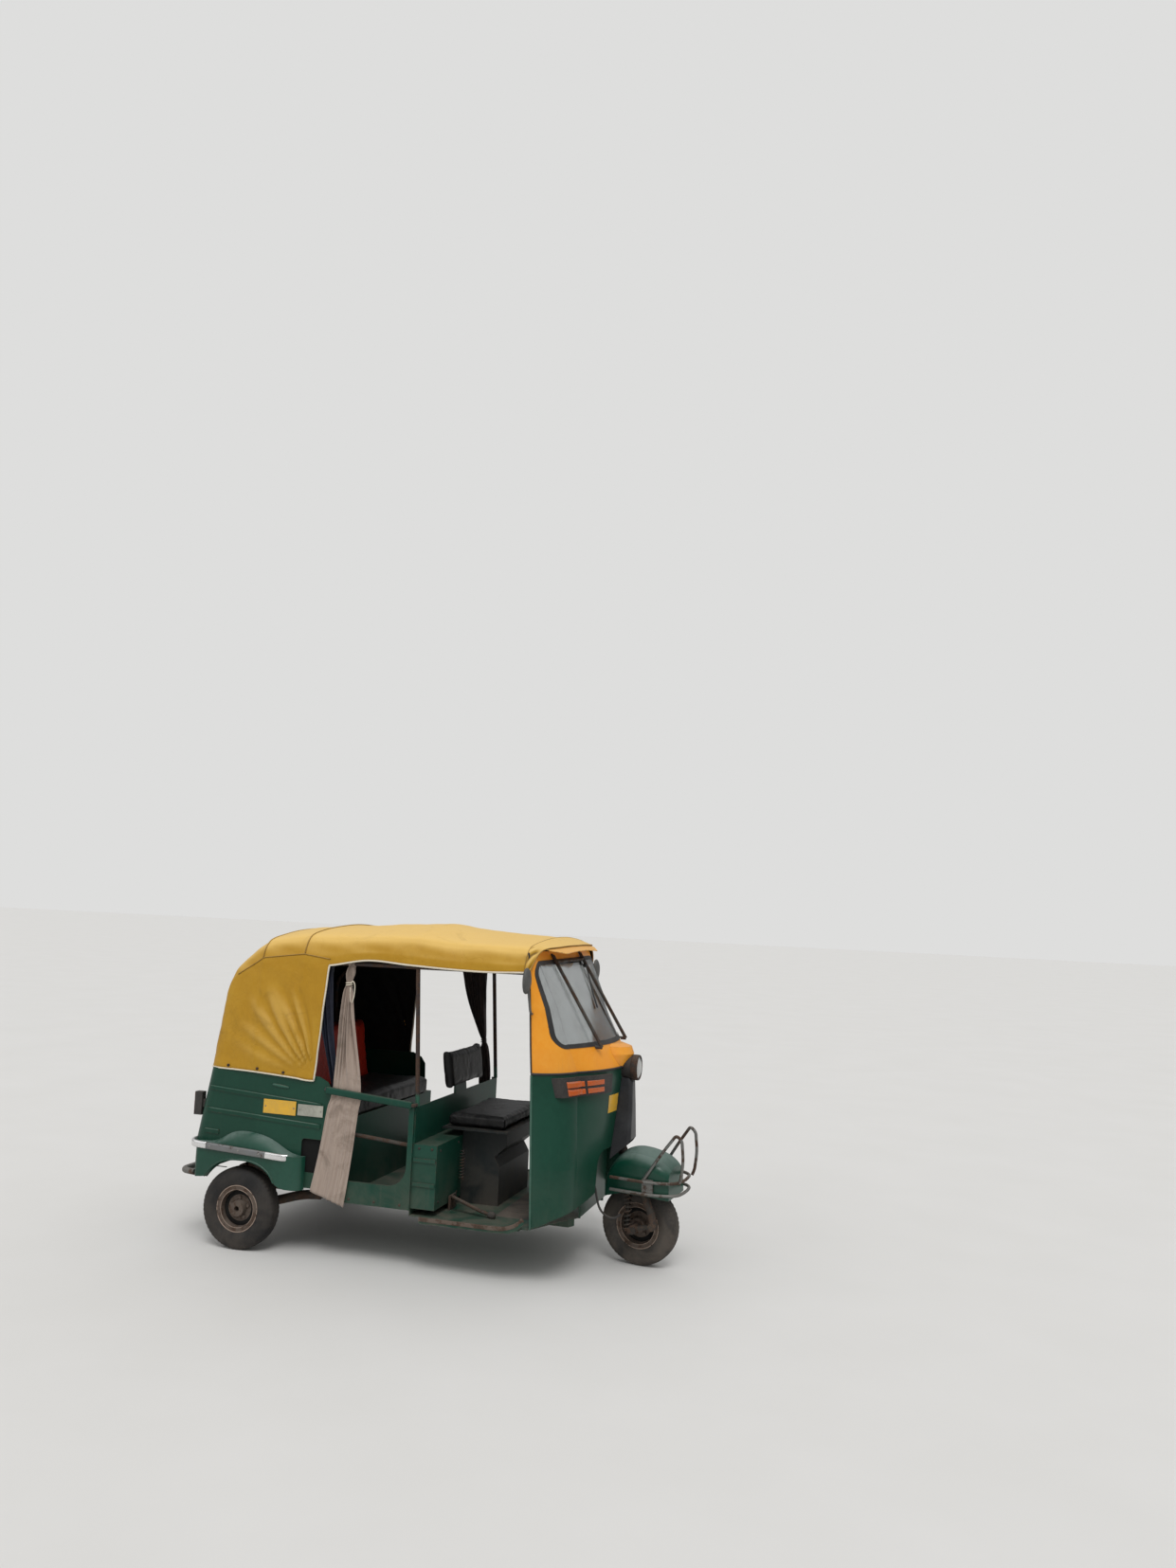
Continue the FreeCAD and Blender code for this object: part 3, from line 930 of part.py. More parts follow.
# wheels
def wheel(tag, x, y, height, delta):
    tyre = body("tyre_" + tag)
    lathe(tyre, [("-rim_half+3.3", "bead_radius+6"), ("-rim_half+3.3", "rim_radius+1.7"), ("-rim_half-1", "rim_radius+3"), ("-tyre_width/2", "rim_radius+38"),
                 ("-tyre_width/2+4", "tyre_radius-26"), ("-tread_half", "tyre_radius-6"), ("-tread_half/2", "tyre_radius"),
                 ("tread_half/2", "tyre_radius"), ("tread_half", "tyre_radius-6"), ("tyre_width/2-4", "tyre_radius-26"),
                 ("tyre_width/2", "rim_radius+38"), ("rim_half+1", "rim_radius+3"), ("rim_half-3.3", "rim_radius+1.7"), ("rim_half-3.3", "bead_radius+6")])
    doc.recompute()
    rim = body("rim_" + tag)
    lathe(rim, [("-hub_face", "bore_radius"), ("-hub_face", "hub_radius"), ("-disc_offset-disc_wall", "hub_radius+4"),
                ("-disc_offset-disc_wall", "bead_radius-8"), ("-rim_half", "bead_radius-4"),
                ("-rim_half", "rim_radius+1.4"), ("-rim_half+3", "rim_radius+1.4"), ("-rim_half+3", "bead_radius+5.7"),
                ("rim_half-3", "bead_radius+5.7"), ("rim_half-3", "rim_radius+1.4"), ("rim_half", "rim_radius+1.4"),
                ("rim_half", "bead_radius-4"), ("-disc_offset", "bead_radius-8"), ("-disc_offset", "hub_radius+6"),
                ("hub_depth", "hub_radius"), ("hub_depth", "bore_radius")])
    doc.recompute()
    out = []
    for label, owner in (("tyre", tyre), ("rim", rim)):
        shape = owner.Shape.copy()
        doc.removeObject(owner.Name)
        if label == "rim":
            for i in range(int(z.vent_count)):
                turn = 360 * i / z.vent_count
                vent = Part.makeCylinder(z.vent_radius, 60, vec(0, -60, z.vent_circle), vec(0, 1, 0))
                shape = shape.cut(vent.rotated(vec(0, 0, 0), vec(0, 1, 0), turn))
            for i in range(int(z.nut_count)):
                turn = 360 * i / z.nut_count
                nut = Part.makeCylinder(z.nut_radius, 10, vec(0, -z.disc_offset - z.disc_wall - 10, z.nut_circle), vec(0, 1, 0))
                shape = shape.fuse(nut.rotated(vec(0, 0, 0), vec(0, 1, 0), turn))
        if y > 0:
            shape = mirror(shape)
        shape = shape.translated(vec(x, y, height))
        out.append(steered(shape) if delta else shape)
    return out


for tag, x, y, height, turned in (("front", front_x, 0, axle_z, True),
                                  ("right", z.rear_axle_x, -z.track / 2, z.tyre_radius, False),
                                  ("left", z.rear_axle_x, z.track / 2, z.tyre_radius, False)):
    tyre_shape, rim_shape = wheel(tag, x, y, height, turned)
    front = tag == "front"
    shape_part("front_tyre" if front else "rear_tyre_" + tag, tyre_shape)
    shape_part("front_rim" if front else "rear_rim_" + tag, rim_shape)

for thing in parts:
    if thing.Label in ("steering_column", "handlebar"):
        thing.Shape = steered(thing.Shape)

doc.recompute()
faults = [o.Label for o in doc.Objects if "Invalid" in o.State or "Error" in o.State]
for thing in parts:
    if thing.Shape.isNull() or not thing.Shape.isValid():
        faults.append(thing.Label)
if faults:
    raise SystemExit("faulty objects: " + ", ".join(faults))
os.makedirs("parts", exist_ok=True)
for thing in parts:
    thing.Shape.exportStep("parts/%s.step" % thing.Label)
box = Part.makeCompound([p.Shape for p in parts]).BoundBox
print("pieces", len(parts), "box", [round(v, 1) for v in (box.XMin, box.XMax, box.YMin, box.YMax, box.ZMin, box.ZMax)])
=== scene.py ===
import math
import bmesh
import bpy
import numpy as np
from mathutils import Matrix, Vector


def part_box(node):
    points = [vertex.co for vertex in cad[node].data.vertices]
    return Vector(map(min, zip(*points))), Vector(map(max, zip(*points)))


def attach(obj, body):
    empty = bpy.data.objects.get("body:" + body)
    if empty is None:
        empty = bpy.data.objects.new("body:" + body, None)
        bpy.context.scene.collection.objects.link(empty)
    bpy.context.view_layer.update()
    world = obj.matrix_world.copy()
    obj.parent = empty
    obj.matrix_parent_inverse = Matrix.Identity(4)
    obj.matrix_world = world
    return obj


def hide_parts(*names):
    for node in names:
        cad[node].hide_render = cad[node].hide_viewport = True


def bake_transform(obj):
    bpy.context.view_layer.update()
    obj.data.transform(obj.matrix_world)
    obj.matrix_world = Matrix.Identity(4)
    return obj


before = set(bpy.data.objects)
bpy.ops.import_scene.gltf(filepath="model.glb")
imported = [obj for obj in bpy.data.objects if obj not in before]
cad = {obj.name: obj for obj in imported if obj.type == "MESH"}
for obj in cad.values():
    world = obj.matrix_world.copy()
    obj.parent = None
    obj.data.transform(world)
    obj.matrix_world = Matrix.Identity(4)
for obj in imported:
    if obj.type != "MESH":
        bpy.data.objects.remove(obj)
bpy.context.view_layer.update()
scene = bpy.context.scene
print("frame loaded,", len(cad), "nodes")


# camera, floor and light

viewpoint = {"place": (2.464, -6.207, 1.851), "yaw": -16.08, "pitch": 5.82, "roll": 2.43, "lens": 27.1}


def placeCamera():
    yaw, pitch, roll = (math.radians(viewpoint[k]) for k in ("yaw", "pitch", "roll"))
    ahead = Vector((math.sin(yaw) * math.cos(pitch), math.cos(yaw) * math.cos(pitch), math.sin(pitch)))
    level = Vector((math.cos(yaw), -math.sin(yaw), 0))
    lift = level.cross(ahead)
    right = math.cos(roll) * level + math.sin(roll) * lift
    up = -math.sin(roll) * level + math.cos(roll) * lift
    camera = bpy.data.objects.new("camera", bpy.data.cameras.new("camera"))
    camera.data.lens = viewpoint["lens"]
    camera.data.sensor_width = 36
    turn = Matrix((right, up, -ahead)).transposed().to_4x4()
    camera.matrix_world = Matrix.Translation(viewpoint["place"]) @ turn
    scene.collection.objects.link(camera)
    scene.camera = camera


placeCamera()


# shader helpers

def srgb(red, green, blue):
    # screen values 0 to 255 as linear colour
    c = np.array([red, green, blue]) / 255
    linear = np.where(c <= 0.04045, c / 12.92, ((c + 0.055) / 1.055) ** 2.4)
    return (*linear.tolist(), 1.0)


def feed(tree, made, inputs):
    # each value goes onto its socket, or is linked to it where it is another node's output
    for key, value in inputs.items():
        if isinstance(value, bpy.types.NodeSocket):
            tree.links.new(value, made.inputs[key])
        else:
            made.inputs[key].default_value = value
    return made


def put(tree, kind, inputs=None, **settings):
    made = tree.nodes.new(kind)
    for key, value in settings.items():
        setattr(made, key, value)
    return feed(tree, made, inputs or {})


def calc(tree, operation, a, b=0.0, clamp=False):
    return put(tree, "ShaderNodeMath", {0: a, 1: b}, operation=operation, use_clamp=clamp).outputs[0]


def times(tree, a, b):
    return calc(tree, "MULTIPLY", a, b)


def plus(tree, a, b, clamp=False):
    return calc(tree, "ADD", a, b, clamp)


def minus(tree, a, b, clamp=False):
    return calc(tree, "SUBTRACT", a, b, clamp)


def mixed(tree, share, a, b):
    return put(tree, "ShaderNodeMix", {0: share, 6: a, 7: b}, data_type="RGBA").outputs[2]


def ramp(tree, value, low, high, toLow=0.0, toHigh=1.0, way="SMOOTHSTEP"):
    return put(tree, "ShaderNodeMapRange", {0: value, 1: low, 2: high, 3: toLow, 4: toHigh},
               interpolation_type=way).outputs[0]


def noise(tree, where, scale, detail=3.0, rough=0.55, warp=0.0):
    return put(tree, "ShaderNodeTexNoise", {"Vector": where, "Scale": scale, "Detail": detail,
                                            "Roughness": rough, "Distortion": warp}).outputs["Fac"]


def stretched(tree, where, scale):
    return put(tree, "ShaderNodeMapping", {"Vector": where, "Scale": scale}).outputs[0]


def objectSpace(tree):
    return put(tree, "ShaderNodeTexCoord").outputs["Object"]


def upright(tree, vector):
    # the Z part of a vector
    return put(tree, "ShaderNodeSeparateXYZ", {0: vector}).outputs[2]


def faceNormal(tree):
    return put(tree, "ShaderNodeNewGeometry").outputs["Normal"]


def effect(name, ins, outs):
    # a node group with named inputs and outputs: a value of four parts makes a colour socket
    group = bpy.data.node_groups.new(name, "ShaderNodeTree")
    for label, value in ins.items():
        kind = "NodeSocketColor" if isinstance(value, tuple) else "NodeSocketFloat"
        group.interface.new_socket(label, in_out="INPUT", socket_type=kind).default_value = value
    for label in outs:
        kind = "NodeSocketColor" if label == "Colour" else "NodeSocketFloat"
        group.interface.new_socket(label, in_out="OUTPUT", socket_type=kind)
    return group, group.nodes.new("NodeGroupInput").outputs, group.nodes.new("NodeGroupOutput")


white = (1, 1, 1, 1)


def makeMottle():
    # broad and fine noise that shifts a colour between a darker and a paler cast
    group, given, result = effect("mottle", {"Colour": white, "Faded": white, "Scale": 3.0, "Amount": 0.5},
                                  ["Colour", "Value"])
    where = objectSpace(group)
    broad = noise(group, where, given["Scale"], 4, 0.6, 0.4)
    fine = noise(group, where, times(group, given["Scale"], 14), 5, 0.65)
    both = plus(group, times(group, broad, 0.7), times(group, fine, 0.3))
    share = times(group, ramp(group, both, 0.38, 0.66), given["Amount"])
    feed(group, result, {"Colour": mixed(group, share, given["Colour"], given["Faded"]), "Value": both})
    return group


def makeGrime():
    # road dust: more of it low down, on upward faces and in vertical runs
    sockets = {"Colour": white, "Dust": (0.2, 0.17, 0.14, 1), "Low": 0.25, "High": 0.9,
               "Amount": 0.6, "Top": 0.3, "Runs": 0.3}
    group, given, result = effect("grime", sockets, ["Colour", "Mask"])
    where = objectSpace(group)
    patch = noise(group, where, 5.5, 6, 0.62, 0.6)
    low = ramp(group, upright(group, where), given["Low"], given["High"], 1.0, 0.0, "LINEAR")
    low = times(group, calc(group, "POWER", low, 1.6), ramp(group, patch, 0.32, 0.62))
    top = times(group, ramp(group, upright(group, faceNormal(group)), 0.35, 0.95), given["Top"])
    top = times(group, top, ramp(group, patch, 0.25, 0.6))
    runs = noise(group, stretched(group, where, (38, 38, 1.6)), 1.0, 4, 0.6)
    runs = times(group, ramp(group, runs, 0.56, 0.74), given["Runs"])
    mask = plus(group, times(group, low, given["Amount"]), plus(group, top, runs), True)
    feed(group, result, {"Colour": mixed(group, mask, given["Colour"], given["Dust"]), "Mask": mask})
    return group


def makeChips():
    # worn edges: where a rounded normal leaves the true one, broken up by noise
    group, given, result = effect("chips", {"Radius": 0.006, "Amount": 1.0, "Spots": 0.15}, ["Mask"])
    where = objectSpace(group)
    rounded = put(group, "ShaderNodeBevel", {"Radius": given["Radius"]}, samples=4).outputs[0]
    turned = put(group, "ShaderNodeVectorMath", {0: rounded, 1: faceNormal(group)},
                 operation="DOT_PRODUCT").outputs["Value"]
    broken = ramp(group, noise(group, where, 46, 5, 0.7), 0.46, 0.6)
    edge = times(group, times(group, ramp(group, turned, 0.995, 0.86), broken), given["Amount"])
    spots = times(group, ramp(group, noise(group, where, 31, 6, 0.72), 0.665, 0.72), given["Spots"])
    feed(group, result, {"Mask": plus(group, edge, spots, True)})
    return group


def makeRust():
    # pitted rust: patches of two browns with a rough height
    group, given, result = effect("rust", {"Scale": 18.0, "Spread": 0.5}, ["Colour", "Mask", "Height"])
    where = objectSpace(group)
    patch = noise(group, where, given["Scale"], 7, 0.68, 0.3)
    fine = noise(group, where, 240, 4, 0.7)
    edge = minus(group, 0.78, times(group, given["Spread"], 0.5))
    mask = ramp(group, patch, minus(group, edge, 0.06), edge, way="LINEAR")
    colour = mixed(group, ramp(group, fine, 0.35, 0.65), srgb(84, 62, 48), srgb(50, 41, 35))
    feed(group, result, {"Colour": colour, "Mask": mask, "Height": times(group, fine, mask)})
    return group


def makeWeave():
    # plain weave on the piece's own uv: two crossed waves, and a slow slub
    group, given, result = effect("weave", {"Threads": 300.0}, ["Height", "Slub"])
    where = put(group, "ShaderNodeUVMap").outputs[0]
    scaled = put(group, "ShaderNodeVectorMath", {0: where, "Scale": given["Threads"]},
                 operation="SCALE").outputs[0]
    parts = put(group, "ShaderNodeSeparateXYZ", {0: scaled})
    across, along = (calc(group, "SINE", parts.outputs[k]) for k in (0, 1))
    slub = noise(group, stretched(group, where, (60, 4, 1)), 1.0, 4, 0.6)
    feed(group, result, {"Height": times(group, across, along), "Slub": slub})
    return group


def makeCreases():
    # small creases of coated cloth: folded noise ridges, and a mask along their lines for painted shade in
    # the creases
    group, given, result = effect("creases", {"Scale": 6.0}, ["Height", "Line"])
    soft = noise(group, objectSpace(group), given["Scale"], 3, 0.55, 1.1)
    line = ramp(group, calc(group, "ABSOLUTE", minus(group, soft, 0.5)), 0.035, 0.0)
    feed(group, result, {"Height": minus(group, soft, times(group, line, 0.12)), "Line": line})
    return group


effects = {"mottle": makeMottle(), "grime": makeGrime(), "chips": makeChips(), "rust": makeRust(),
           "weave": makeWeave(), "creases": makeCreases()}


def use(tree, name, **inputs):
    # an effect placed in a material, its inputs given by their names without the capital
    placed = tree.nodes.new("ShaderNodeGroup")
    placed.node_tree = effects[name]
    return feed(tree, placed, {key.capitalize(): value for key, value in inputs.items()}).outputs


def finish(name, **fixed):
    # a material and its main shader, with the plain values set on the shader
    material = bpy.data.materials.new(name)
    material.use_nodes = True
    tree = material.node_tree
    shader = tree.nodes["Principled BSDF"]
    for key, value in fixed.items():
        words = "".join(" " + c if c.isupper() else c for c in key).strip()
        label = words[0].upper() + words[1:]
        shader.inputs[label.replace("I O R", "IOR")].default_value = value
    return material, tree, shader


def bumped(tree, shader, height, strength, distance):
    bump = put(tree, "ShaderNodeBump", {"Height": height, "Strength": strength, "Distance": distance})
    feed(tree, shader, {"Normal": bump.outputs[0]})


# materials: a table of finishes beside the function that makes each kind, colours in screen values

def tabled(columns, rows):
    keys = columns.split()
    return {name: {key: srgb(*value) if isinstance(value, tuple) else value for key, value in zip(keys, row)}
            for name, row in rows.items()}


dust = (112, 102, 92)
dustTone = srgb(*dust)
paints = tabled("colour faded tone low high dust top runs chips spots rough coat", {
    "greenPaint": [(8, 58, 43), (18, 68, 52), dust, 0.20, 0.62, 0.22, 0.12, 0.03, 0.8, 0.12, 0.34, 0.15],
    # fender paint: its pale blue-grey tone and large top share paint a highlight on the upward faces of the
    # domes, mixed with dust
    "fenderGreenWithHighlight": [(12, 62, 47), (30, 80, 64), (112, 128, 122), 0.20, 0.5, 0.2, 0.75, 0.04, 1.0, 0.16, 0.30,
                    0.3],
    # pale green of the rolled lips, rib beads and pressed slot: painted highlight along their edges
    "lipGreen": [(44, 88, 73), (84, 112, 100), dust, 0.20, 0.62, 0.3, 0.5, 0.03, 0.6, 0.2, 0.42, 0.1],
    "cabinGreen": [(8, 60, 46), (20, 72, 58), dust, 0.22, 0.66, 0.42, 0.28, 0.08, 1.2, 0.3, 0.48, 0.1],
    "yellowPaint": [(238, 152, 34), (242, 170, 62), dust, 0.9, 1.2, 0.12, 0.08, 0.06, 0.5, 0.10, 0.30, 0.3],
    "visorPaint": [(236, 176, 84), (236, 190, 112), dust, 0.9, 1.2, 0.1, 0.12, 0.08, 0.8, 0.15, 0.42, 0.1],
    "cabinPaint": [(26, 32, 33), (42, 48, 47), dust, 0.25, 0.7, 0.38, 0.3, 0.1, 1.0, 0.25, 0.5, 0.1],
})


def makePaint(name, p):
    # enamel: mottled colour, chipped to dark steel at the edges, dusty low down
    material, tree, shader = finish(name, coatRoughness=0.22, IOR=1.5, specularIORLevel=0.25)
    base = use(tree, "mottle", colour=p["colour"], faded=p["faded"], scale=2.6, amount=0.6)
    worn = use(tree, "chips", radius=0.005, amount=p["chips"], spots=p["spots"])["Mask"]
    chipped = mixed(tree, worn, base["Colour"], srgb(74, 62, 52))
    dirty = use(tree, "grime", colour=chipped, dust=p["tone"], low=p["low"], high=p["high"], amount=p["dust"],
                top=p["top"], runs=p["runs"])
    rough = plus(tree, p["rough"], times(tree, dirty["Mask"], 0.45))
    feed(tree, shader, {"Base Color": dirty["Colour"],
                        "Roughness": plus(tree, rough, times(tree, base["Value"], 0.12), True),
                        "Coat Weight": times(tree, minus(tree, 1.0, dirty["Mask"], True), p["coat"])})
    bumped(tree, shader, minus(tree, times(tree, base["Value"], 0.5), worn), 0.25, 0.0012)
    return material


metals = tabled("colour metal rough spread scale", {
    "rustySteel": [(70, 66, 62), 0.5, 0.5, 0.52, 16.0],
    "boardSteel": [(98, 84, 74), 0.3, 0.5, 0.5, 16.0],
    "guardSteel": [(120, 121, 118), 0.75, 0.40, 0.46, 14.0],
    "chromeTrim": [(236, 236, 236), 0.9, 0.16, 0.10, 24.0],
    "wornChrome": [(128, 130, 131), 0.7, 0.36, 0.30, 26.0],
    "wheelSteel": [(84, 72, 64), 0.2, 0.55, 0.42, 22.0],
    "rimEdge": [(168, 148, 134), 0.3, 0.5, 0.36, 26.0],
    "castMetal": [(64, 61, 58), 0.5, 0.6, 0.5, 20.0],
    "forkSteel": [(42, 40, 38), 0.4, 0.55, 0.5, 24.0],
    "galvanized": [(150, 150, 146), 0.85, 0.38, 0.35, 30.0],
})


def makeMetal(name, p):
    # bare or thinly painted metal with rust patches and a film of dust low down
    material, tree, shader = finish(name, specularIORLevel=0.4)
    base = use(tree, "mottle", colour=p["colour"], faded=dustTone, scale=9.0, amount=0.2)
    rust = use(tree, "rust", scale=p["scale"], spread=p["spread"])
    rusty = mixed(tree, rust["Mask"], base["Colour"], rust["Colour"])
    dirty = use(tree, "grime", colour=rusty, dust=dustTone, low=0.05, high=0.7, amount=0.45, top=0.25,
                runs=0.05)
    cover = calc(tree, "MAXIMUM", rust["Mask"], dirty["Mask"])
    rough = plus(tree, p["rough"], times(tree, cover, 0.4))
    feed(tree, shader, {"Base Color": dirty["Colour"],
                        "Metallic": times(tree, minus(tree, 1.0, cover, True), p["metal"]),
                        "Roughness": plus(tree, rough, times(tree, base["Value"], 0.15), True)})
    bumped(tree, shader, plus(tree, rust["Height"], base["Value"]), 0.3, 0.0008)
    return material


plastics = tabled("colour faded rough dust grain", {
    "blackRubber": [(40, 40, 41), (66, 65, 64), 0.55, 0.4, 300.0],
    "tyreRubber": [(40, 39, 38), (76, 72, 68), 0.75, 0.55, 160.0],
    "rearRubber": [(25, 25, 26), (46, 45, 44), 0.7, 0.30, 160.0],
    "nosePanel": [(34, 35, 38), (58, 59, 61), 0.42, 0.3, 420.0],
    "darkPlastic": [(38, 36, 36), (70, 66, 62), 0.5, 0.35, 420.0],
    "mirrorShell": [(72, 73, 72), (98, 98, 95), 0.5, 0.2, 380.0],
    "flapRubber": [(50, 50, 49), (86, 80, 74), 0.8, 0.8, 120.0],
    # flat black: the dial face, and painted shade in the vents, the wheel gaps and behind the side plates
    "deepBlack": [(9, 9, 9), (16, 16, 15), 0.9, 0.05, 120.0],
})


def makePlastic(name, p):
    # dull polymer: grained, greyed by weather, dusty low down
    material, tree, shader = finish(name, specularIORLevel=0.35)
    base = use(tree, "mottle", colour=p["colour"], faded=p["faded"], scale=7.0, amount=0.6)
    dirty = use(tree, "grime", colour=base["Colour"], dust=dustTone, low=0.0, high=0.8, amount=p["dust"],
                top=0.25, runs=0.04)
    feed(tree, shader, {"Base Color": dirty["Colour"],
                        "Roughness": plus(tree, p["rough"], times(tree, dirty["Mask"], 0.3), True)})
    bumped(tree, shader, noise(tree, objectSpace(tree), p["grain"], 3, 0.6), 0.2, 0.0006)
    return material


# sky: colour of upward faces, partly sun-bleaching and partly painted highlight; stain: colour of the blots,
# specks and of the painted shade in crease lines and fold valleys; lines: share of that crease shade
vinyls = tabled("colour faded sky stain rough creases strength blots lines", {
    "canopyVinyl": [(176, 131, 28), (190, 148, 46), (228, 190, 108), (88, 62, 20), 0.50, 5.0, 0.35, 0.3,
                    0.02],
    "weltVinyl": [(140, 106, 40), (156, 120, 52), (186, 152, 84), (70, 52, 24), 0.55, 20.0, 0.3, 0.4, 0.1],
    "canopyLining": [(20, 19, 18), (32, 30, 28), (26, 25, 24), (14, 12, 11), 0.85, 5.0, 0.4, 0.3, 0.1],
    "redVinyl": [(178, 36, 16), (190, 50, 26), (140, 46, 34), (58, 14, 10), 0.42, 8.0, 0.35, 0.35, 0.12],
    "blackVinyl": [(14, 14, 15), (25, 25, 25), (26, 26, 27), (52, 48, 43), 0.46, 9.0, 0.4, 0.3, 0.15],
    "navyVinyl": [(30, 33, 45), (48, 52, 66), (52, 56, 70), (20, 20, 24), 0.36, 11.0, 0.4, 0.3, 0.12],
    "whitePiping": [(224, 216, 198), (200, 188, 164), (214, 204, 182), (128, 112, 88), 0.6, 30.0, 0.2, 0.4,
                    0.1],
})


def makeVinyl(name, p):
    # coated cloth: paler where it faces the sky, partly sun-bleaching and partly painted highlight, stained
    # in patches, finely creased;
    # a piece's own fold value paints a highlight on its crests, and painted shade darkens its valleys and its
    # crease lines
    material, tree, shader = finish(name, specularIORLevel=0.28)
    where = objectSpace(tree)
    facing = upright(tree, faceNormal(tree))
    fold = put(tree, "ShaderNodeAttribute", attribute_name="fold").outputs["Fac"]
    base = use(tree, "mottle", colour=p["colour"], faded=p["faded"], scale=3.2, amount=0.55)
    # upward faces paler: sun-bleaching and painted highlight
    bleachAndHighlight = mixed(tree, ramp(tree, facing, 0.18, 0.92, 0.0, 0.92), base["Colour"], p["sky"])
    # fold crests paler: painted highlight
    bleachAndHighlight = mixed(tree, ramp(tree, fold, 0.05, 1.0, 0.0, 0.35), bleachAndHighlight, p["sky"])
    folds = use(tree, "creases", scale=p["creases"])
    stainAndShade = ramp(tree, noise(tree, where, 4.3, 7, 0.68, 0.8), 0.57, 0.76, 0.0, p["blots"])
    # crease lines darker with the stain colour: painted shade
    stainAndShade = plus(tree, stainAndShade, times(tree, folds["Line"], p["lines"]), True)
    # fold valleys darker with the stain colour: painted shade
    stainAndShade = plus(tree, stainAndShade, ramp(tree, fold, -0.12, -0.9, 0.0, 0.72), True)
    speck = ramp(tree, noise(tree, where, 60, 5, 0.7), 0.66, 0.76, 0.0, 0.4)
    feed(tree, shader, {"Base Color": mixed(tree, speck, mixed(tree, stainAndShade, bleachAndHighlight, p["stain"]), p["stain"]),
                        "Roughness": plus(tree, p["rough"], times(tree, stainAndShade, 0.3), True)})
    height = plus(tree, folds["Height"], times(tree, noise(tree, where, 520, 2, 0.5), 0.02))
    bumped(tree, shader, height, p["strength"], 0.012)
    return material


cloths = tabled("colour faded stain threads", {
    "beigeCloth": [(158, 141, 129), (170, 153, 140), (108, 94, 82), 900.0],
    "brownCloth": [(46, 34, 32), (66, 52, 47), (26, 20, 18), 900.0],
})


def makeCloth(name, p):
    # woven cloth with slubs, soft sheen and soiled patches
    material, tree, shader = finish(name, roughness=0.92, sheenWeight=0.25, sheenRoughness=0.5)
    thread = use(tree, "weave", threads=p["threads"])
    base = mixed(tree, ramp(tree, thread["Slub"], 0.35, 0.7), p["colour"], p["faded"])
    soiled = ramp(tree, noise(tree, objectSpace(tree), 9.0, 7, 0.7, 0.6), 0.48, 0.72, 0.0, 0.65)
    feed(tree, shader, {"Base Color": mixed(tree, soiled, base, p["stain"])})
    bumped(tree, shader, plus(tree, thread["Height"], thread["Slub"]), 0.35, 0.0009)
    return material


def makePost(name):
    # tube painted green up to a height, bare brown steel above it
    material, tree, shader = finish(name, specularIORLevel=0.35)
    where = objectSpace(tree)
    ragged = plus(tree, upright(tree, where), times(tree, noise(tree, where, 30, 4), 0.05))
    rust = use(tree, "rust", scale=18.0, spread=0.55)
    brown = mixed(tree, rust["Mask"], srgb(50, 42, 41), rust["Colour"])
    green = use(tree, "mottle", colour=srgb(40, 84, 66), faded=srgb(62, 98, 82), scale=9.0, amount=0.7)
    feed(tree, shader, {"Base Color": mixed(tree, ramp(tree, ragged, 0.872, 0.902), green["Colour"], brown),
                        "Roughness": plus(tree, 0.45, times(tree, rust["Mask"], 0.4), True)})
    bumped(tree, shader, rust["Height"], 0.3, 0.0008)
    return material


def makeGlass(name, colour, rough, dirt):
    # clear pane with a thin film of dust
    material, tree, shader = finish(name, transmissionWeight=0.96, IOR=1.45)
    film = ramp(tree, noise(tree, objectSpace(tree), 7.0, 6, 0.66, 0.5), 0.35, 0.75, 0.02, dirt)
    feed(tree, shader, {"Base Color": mixed(tree, film, colour, srgb(120, 117, 112)),
                        "Roughness": plus(tree, rough, times(tree, film, 0.6), True)})
    return material


lenses = tabled("colour faded", {
    "amberLens": [(190, 82, 18), (172, 92, 40)],
    "redLens": [(150, 24, 18), (170, 52, 40)],
    "clearLens": [(196, 198, 196), (168, 166, 160)],
})


def makeLens(name, p):
    # ribbed moulded lens, dusty and slightly crazed
    material, tree, shader = finish(name, coatWeight=0.35, coatRoughness=0.12, specularIORLevel=0.3)
    base = use(tree, "mottle", colour=p["colour"], faded=p["faded"], scale=16.0, amount=0.6)
    dirty = use(tree, "grime", colour=base["Colour"], dust=dustTone, low=0.4, high=1.3, amount=0.45, top=0.4,
                runs=0.12)
    feed(tree, shader, {"Base Color": dirty["Colour"],
                        "Roughness": plus(tree, 0.2, times(tree, dirty["Mask"], 0.5), True)})
    prism = put(tree, "ShaderNodeTexWave", {"Vector": objectSpace(tree), "Scale": 40.0},
                bands_direction="DIAGONAL").outputs["Fac"]
    bumped(tree, shader, prism, 0.25, 0.001)
    return material


plates = tabled("colour faded metallic", {
    "plateYellow": [(222, 172, 52), (196, 158, 70), 0.0],
    "reflectorFilm": [(168, 168, 156), (132, 132, 122), 0.0],
    "mirrorGlass": [(190, 196, 198), (150, 154, 156), 1.0],
})


def makePlate(name, p):
    # thin painted or coated plate, bare of any sign, scuffed
    material, tree, shader = finish(name, metallic=p["metallic"])
    base = use(tree, "mottle", colour=p["colour"], faded=p["faded"], scale=22.0, amount=0.7)
    marks = noise(tree, stretched(tree, objectSpace(tree), (20, 20, 90)), 1.0, 5, 0.7)
    scuff = ramp(tree, marks, 0.6, 0.72, 0.0, 0.6)
    feed(tree, shader, {"Base Color": mixed(tree, scuff, base["Colour"], srgb(92, 80, 62)),
                        "Roughness": plus(tree, 0.25, times(tree, scuff, 0.4), True)})
    bumped(tree, shader, base["Value"], 0.2, 0.0006)
    return material


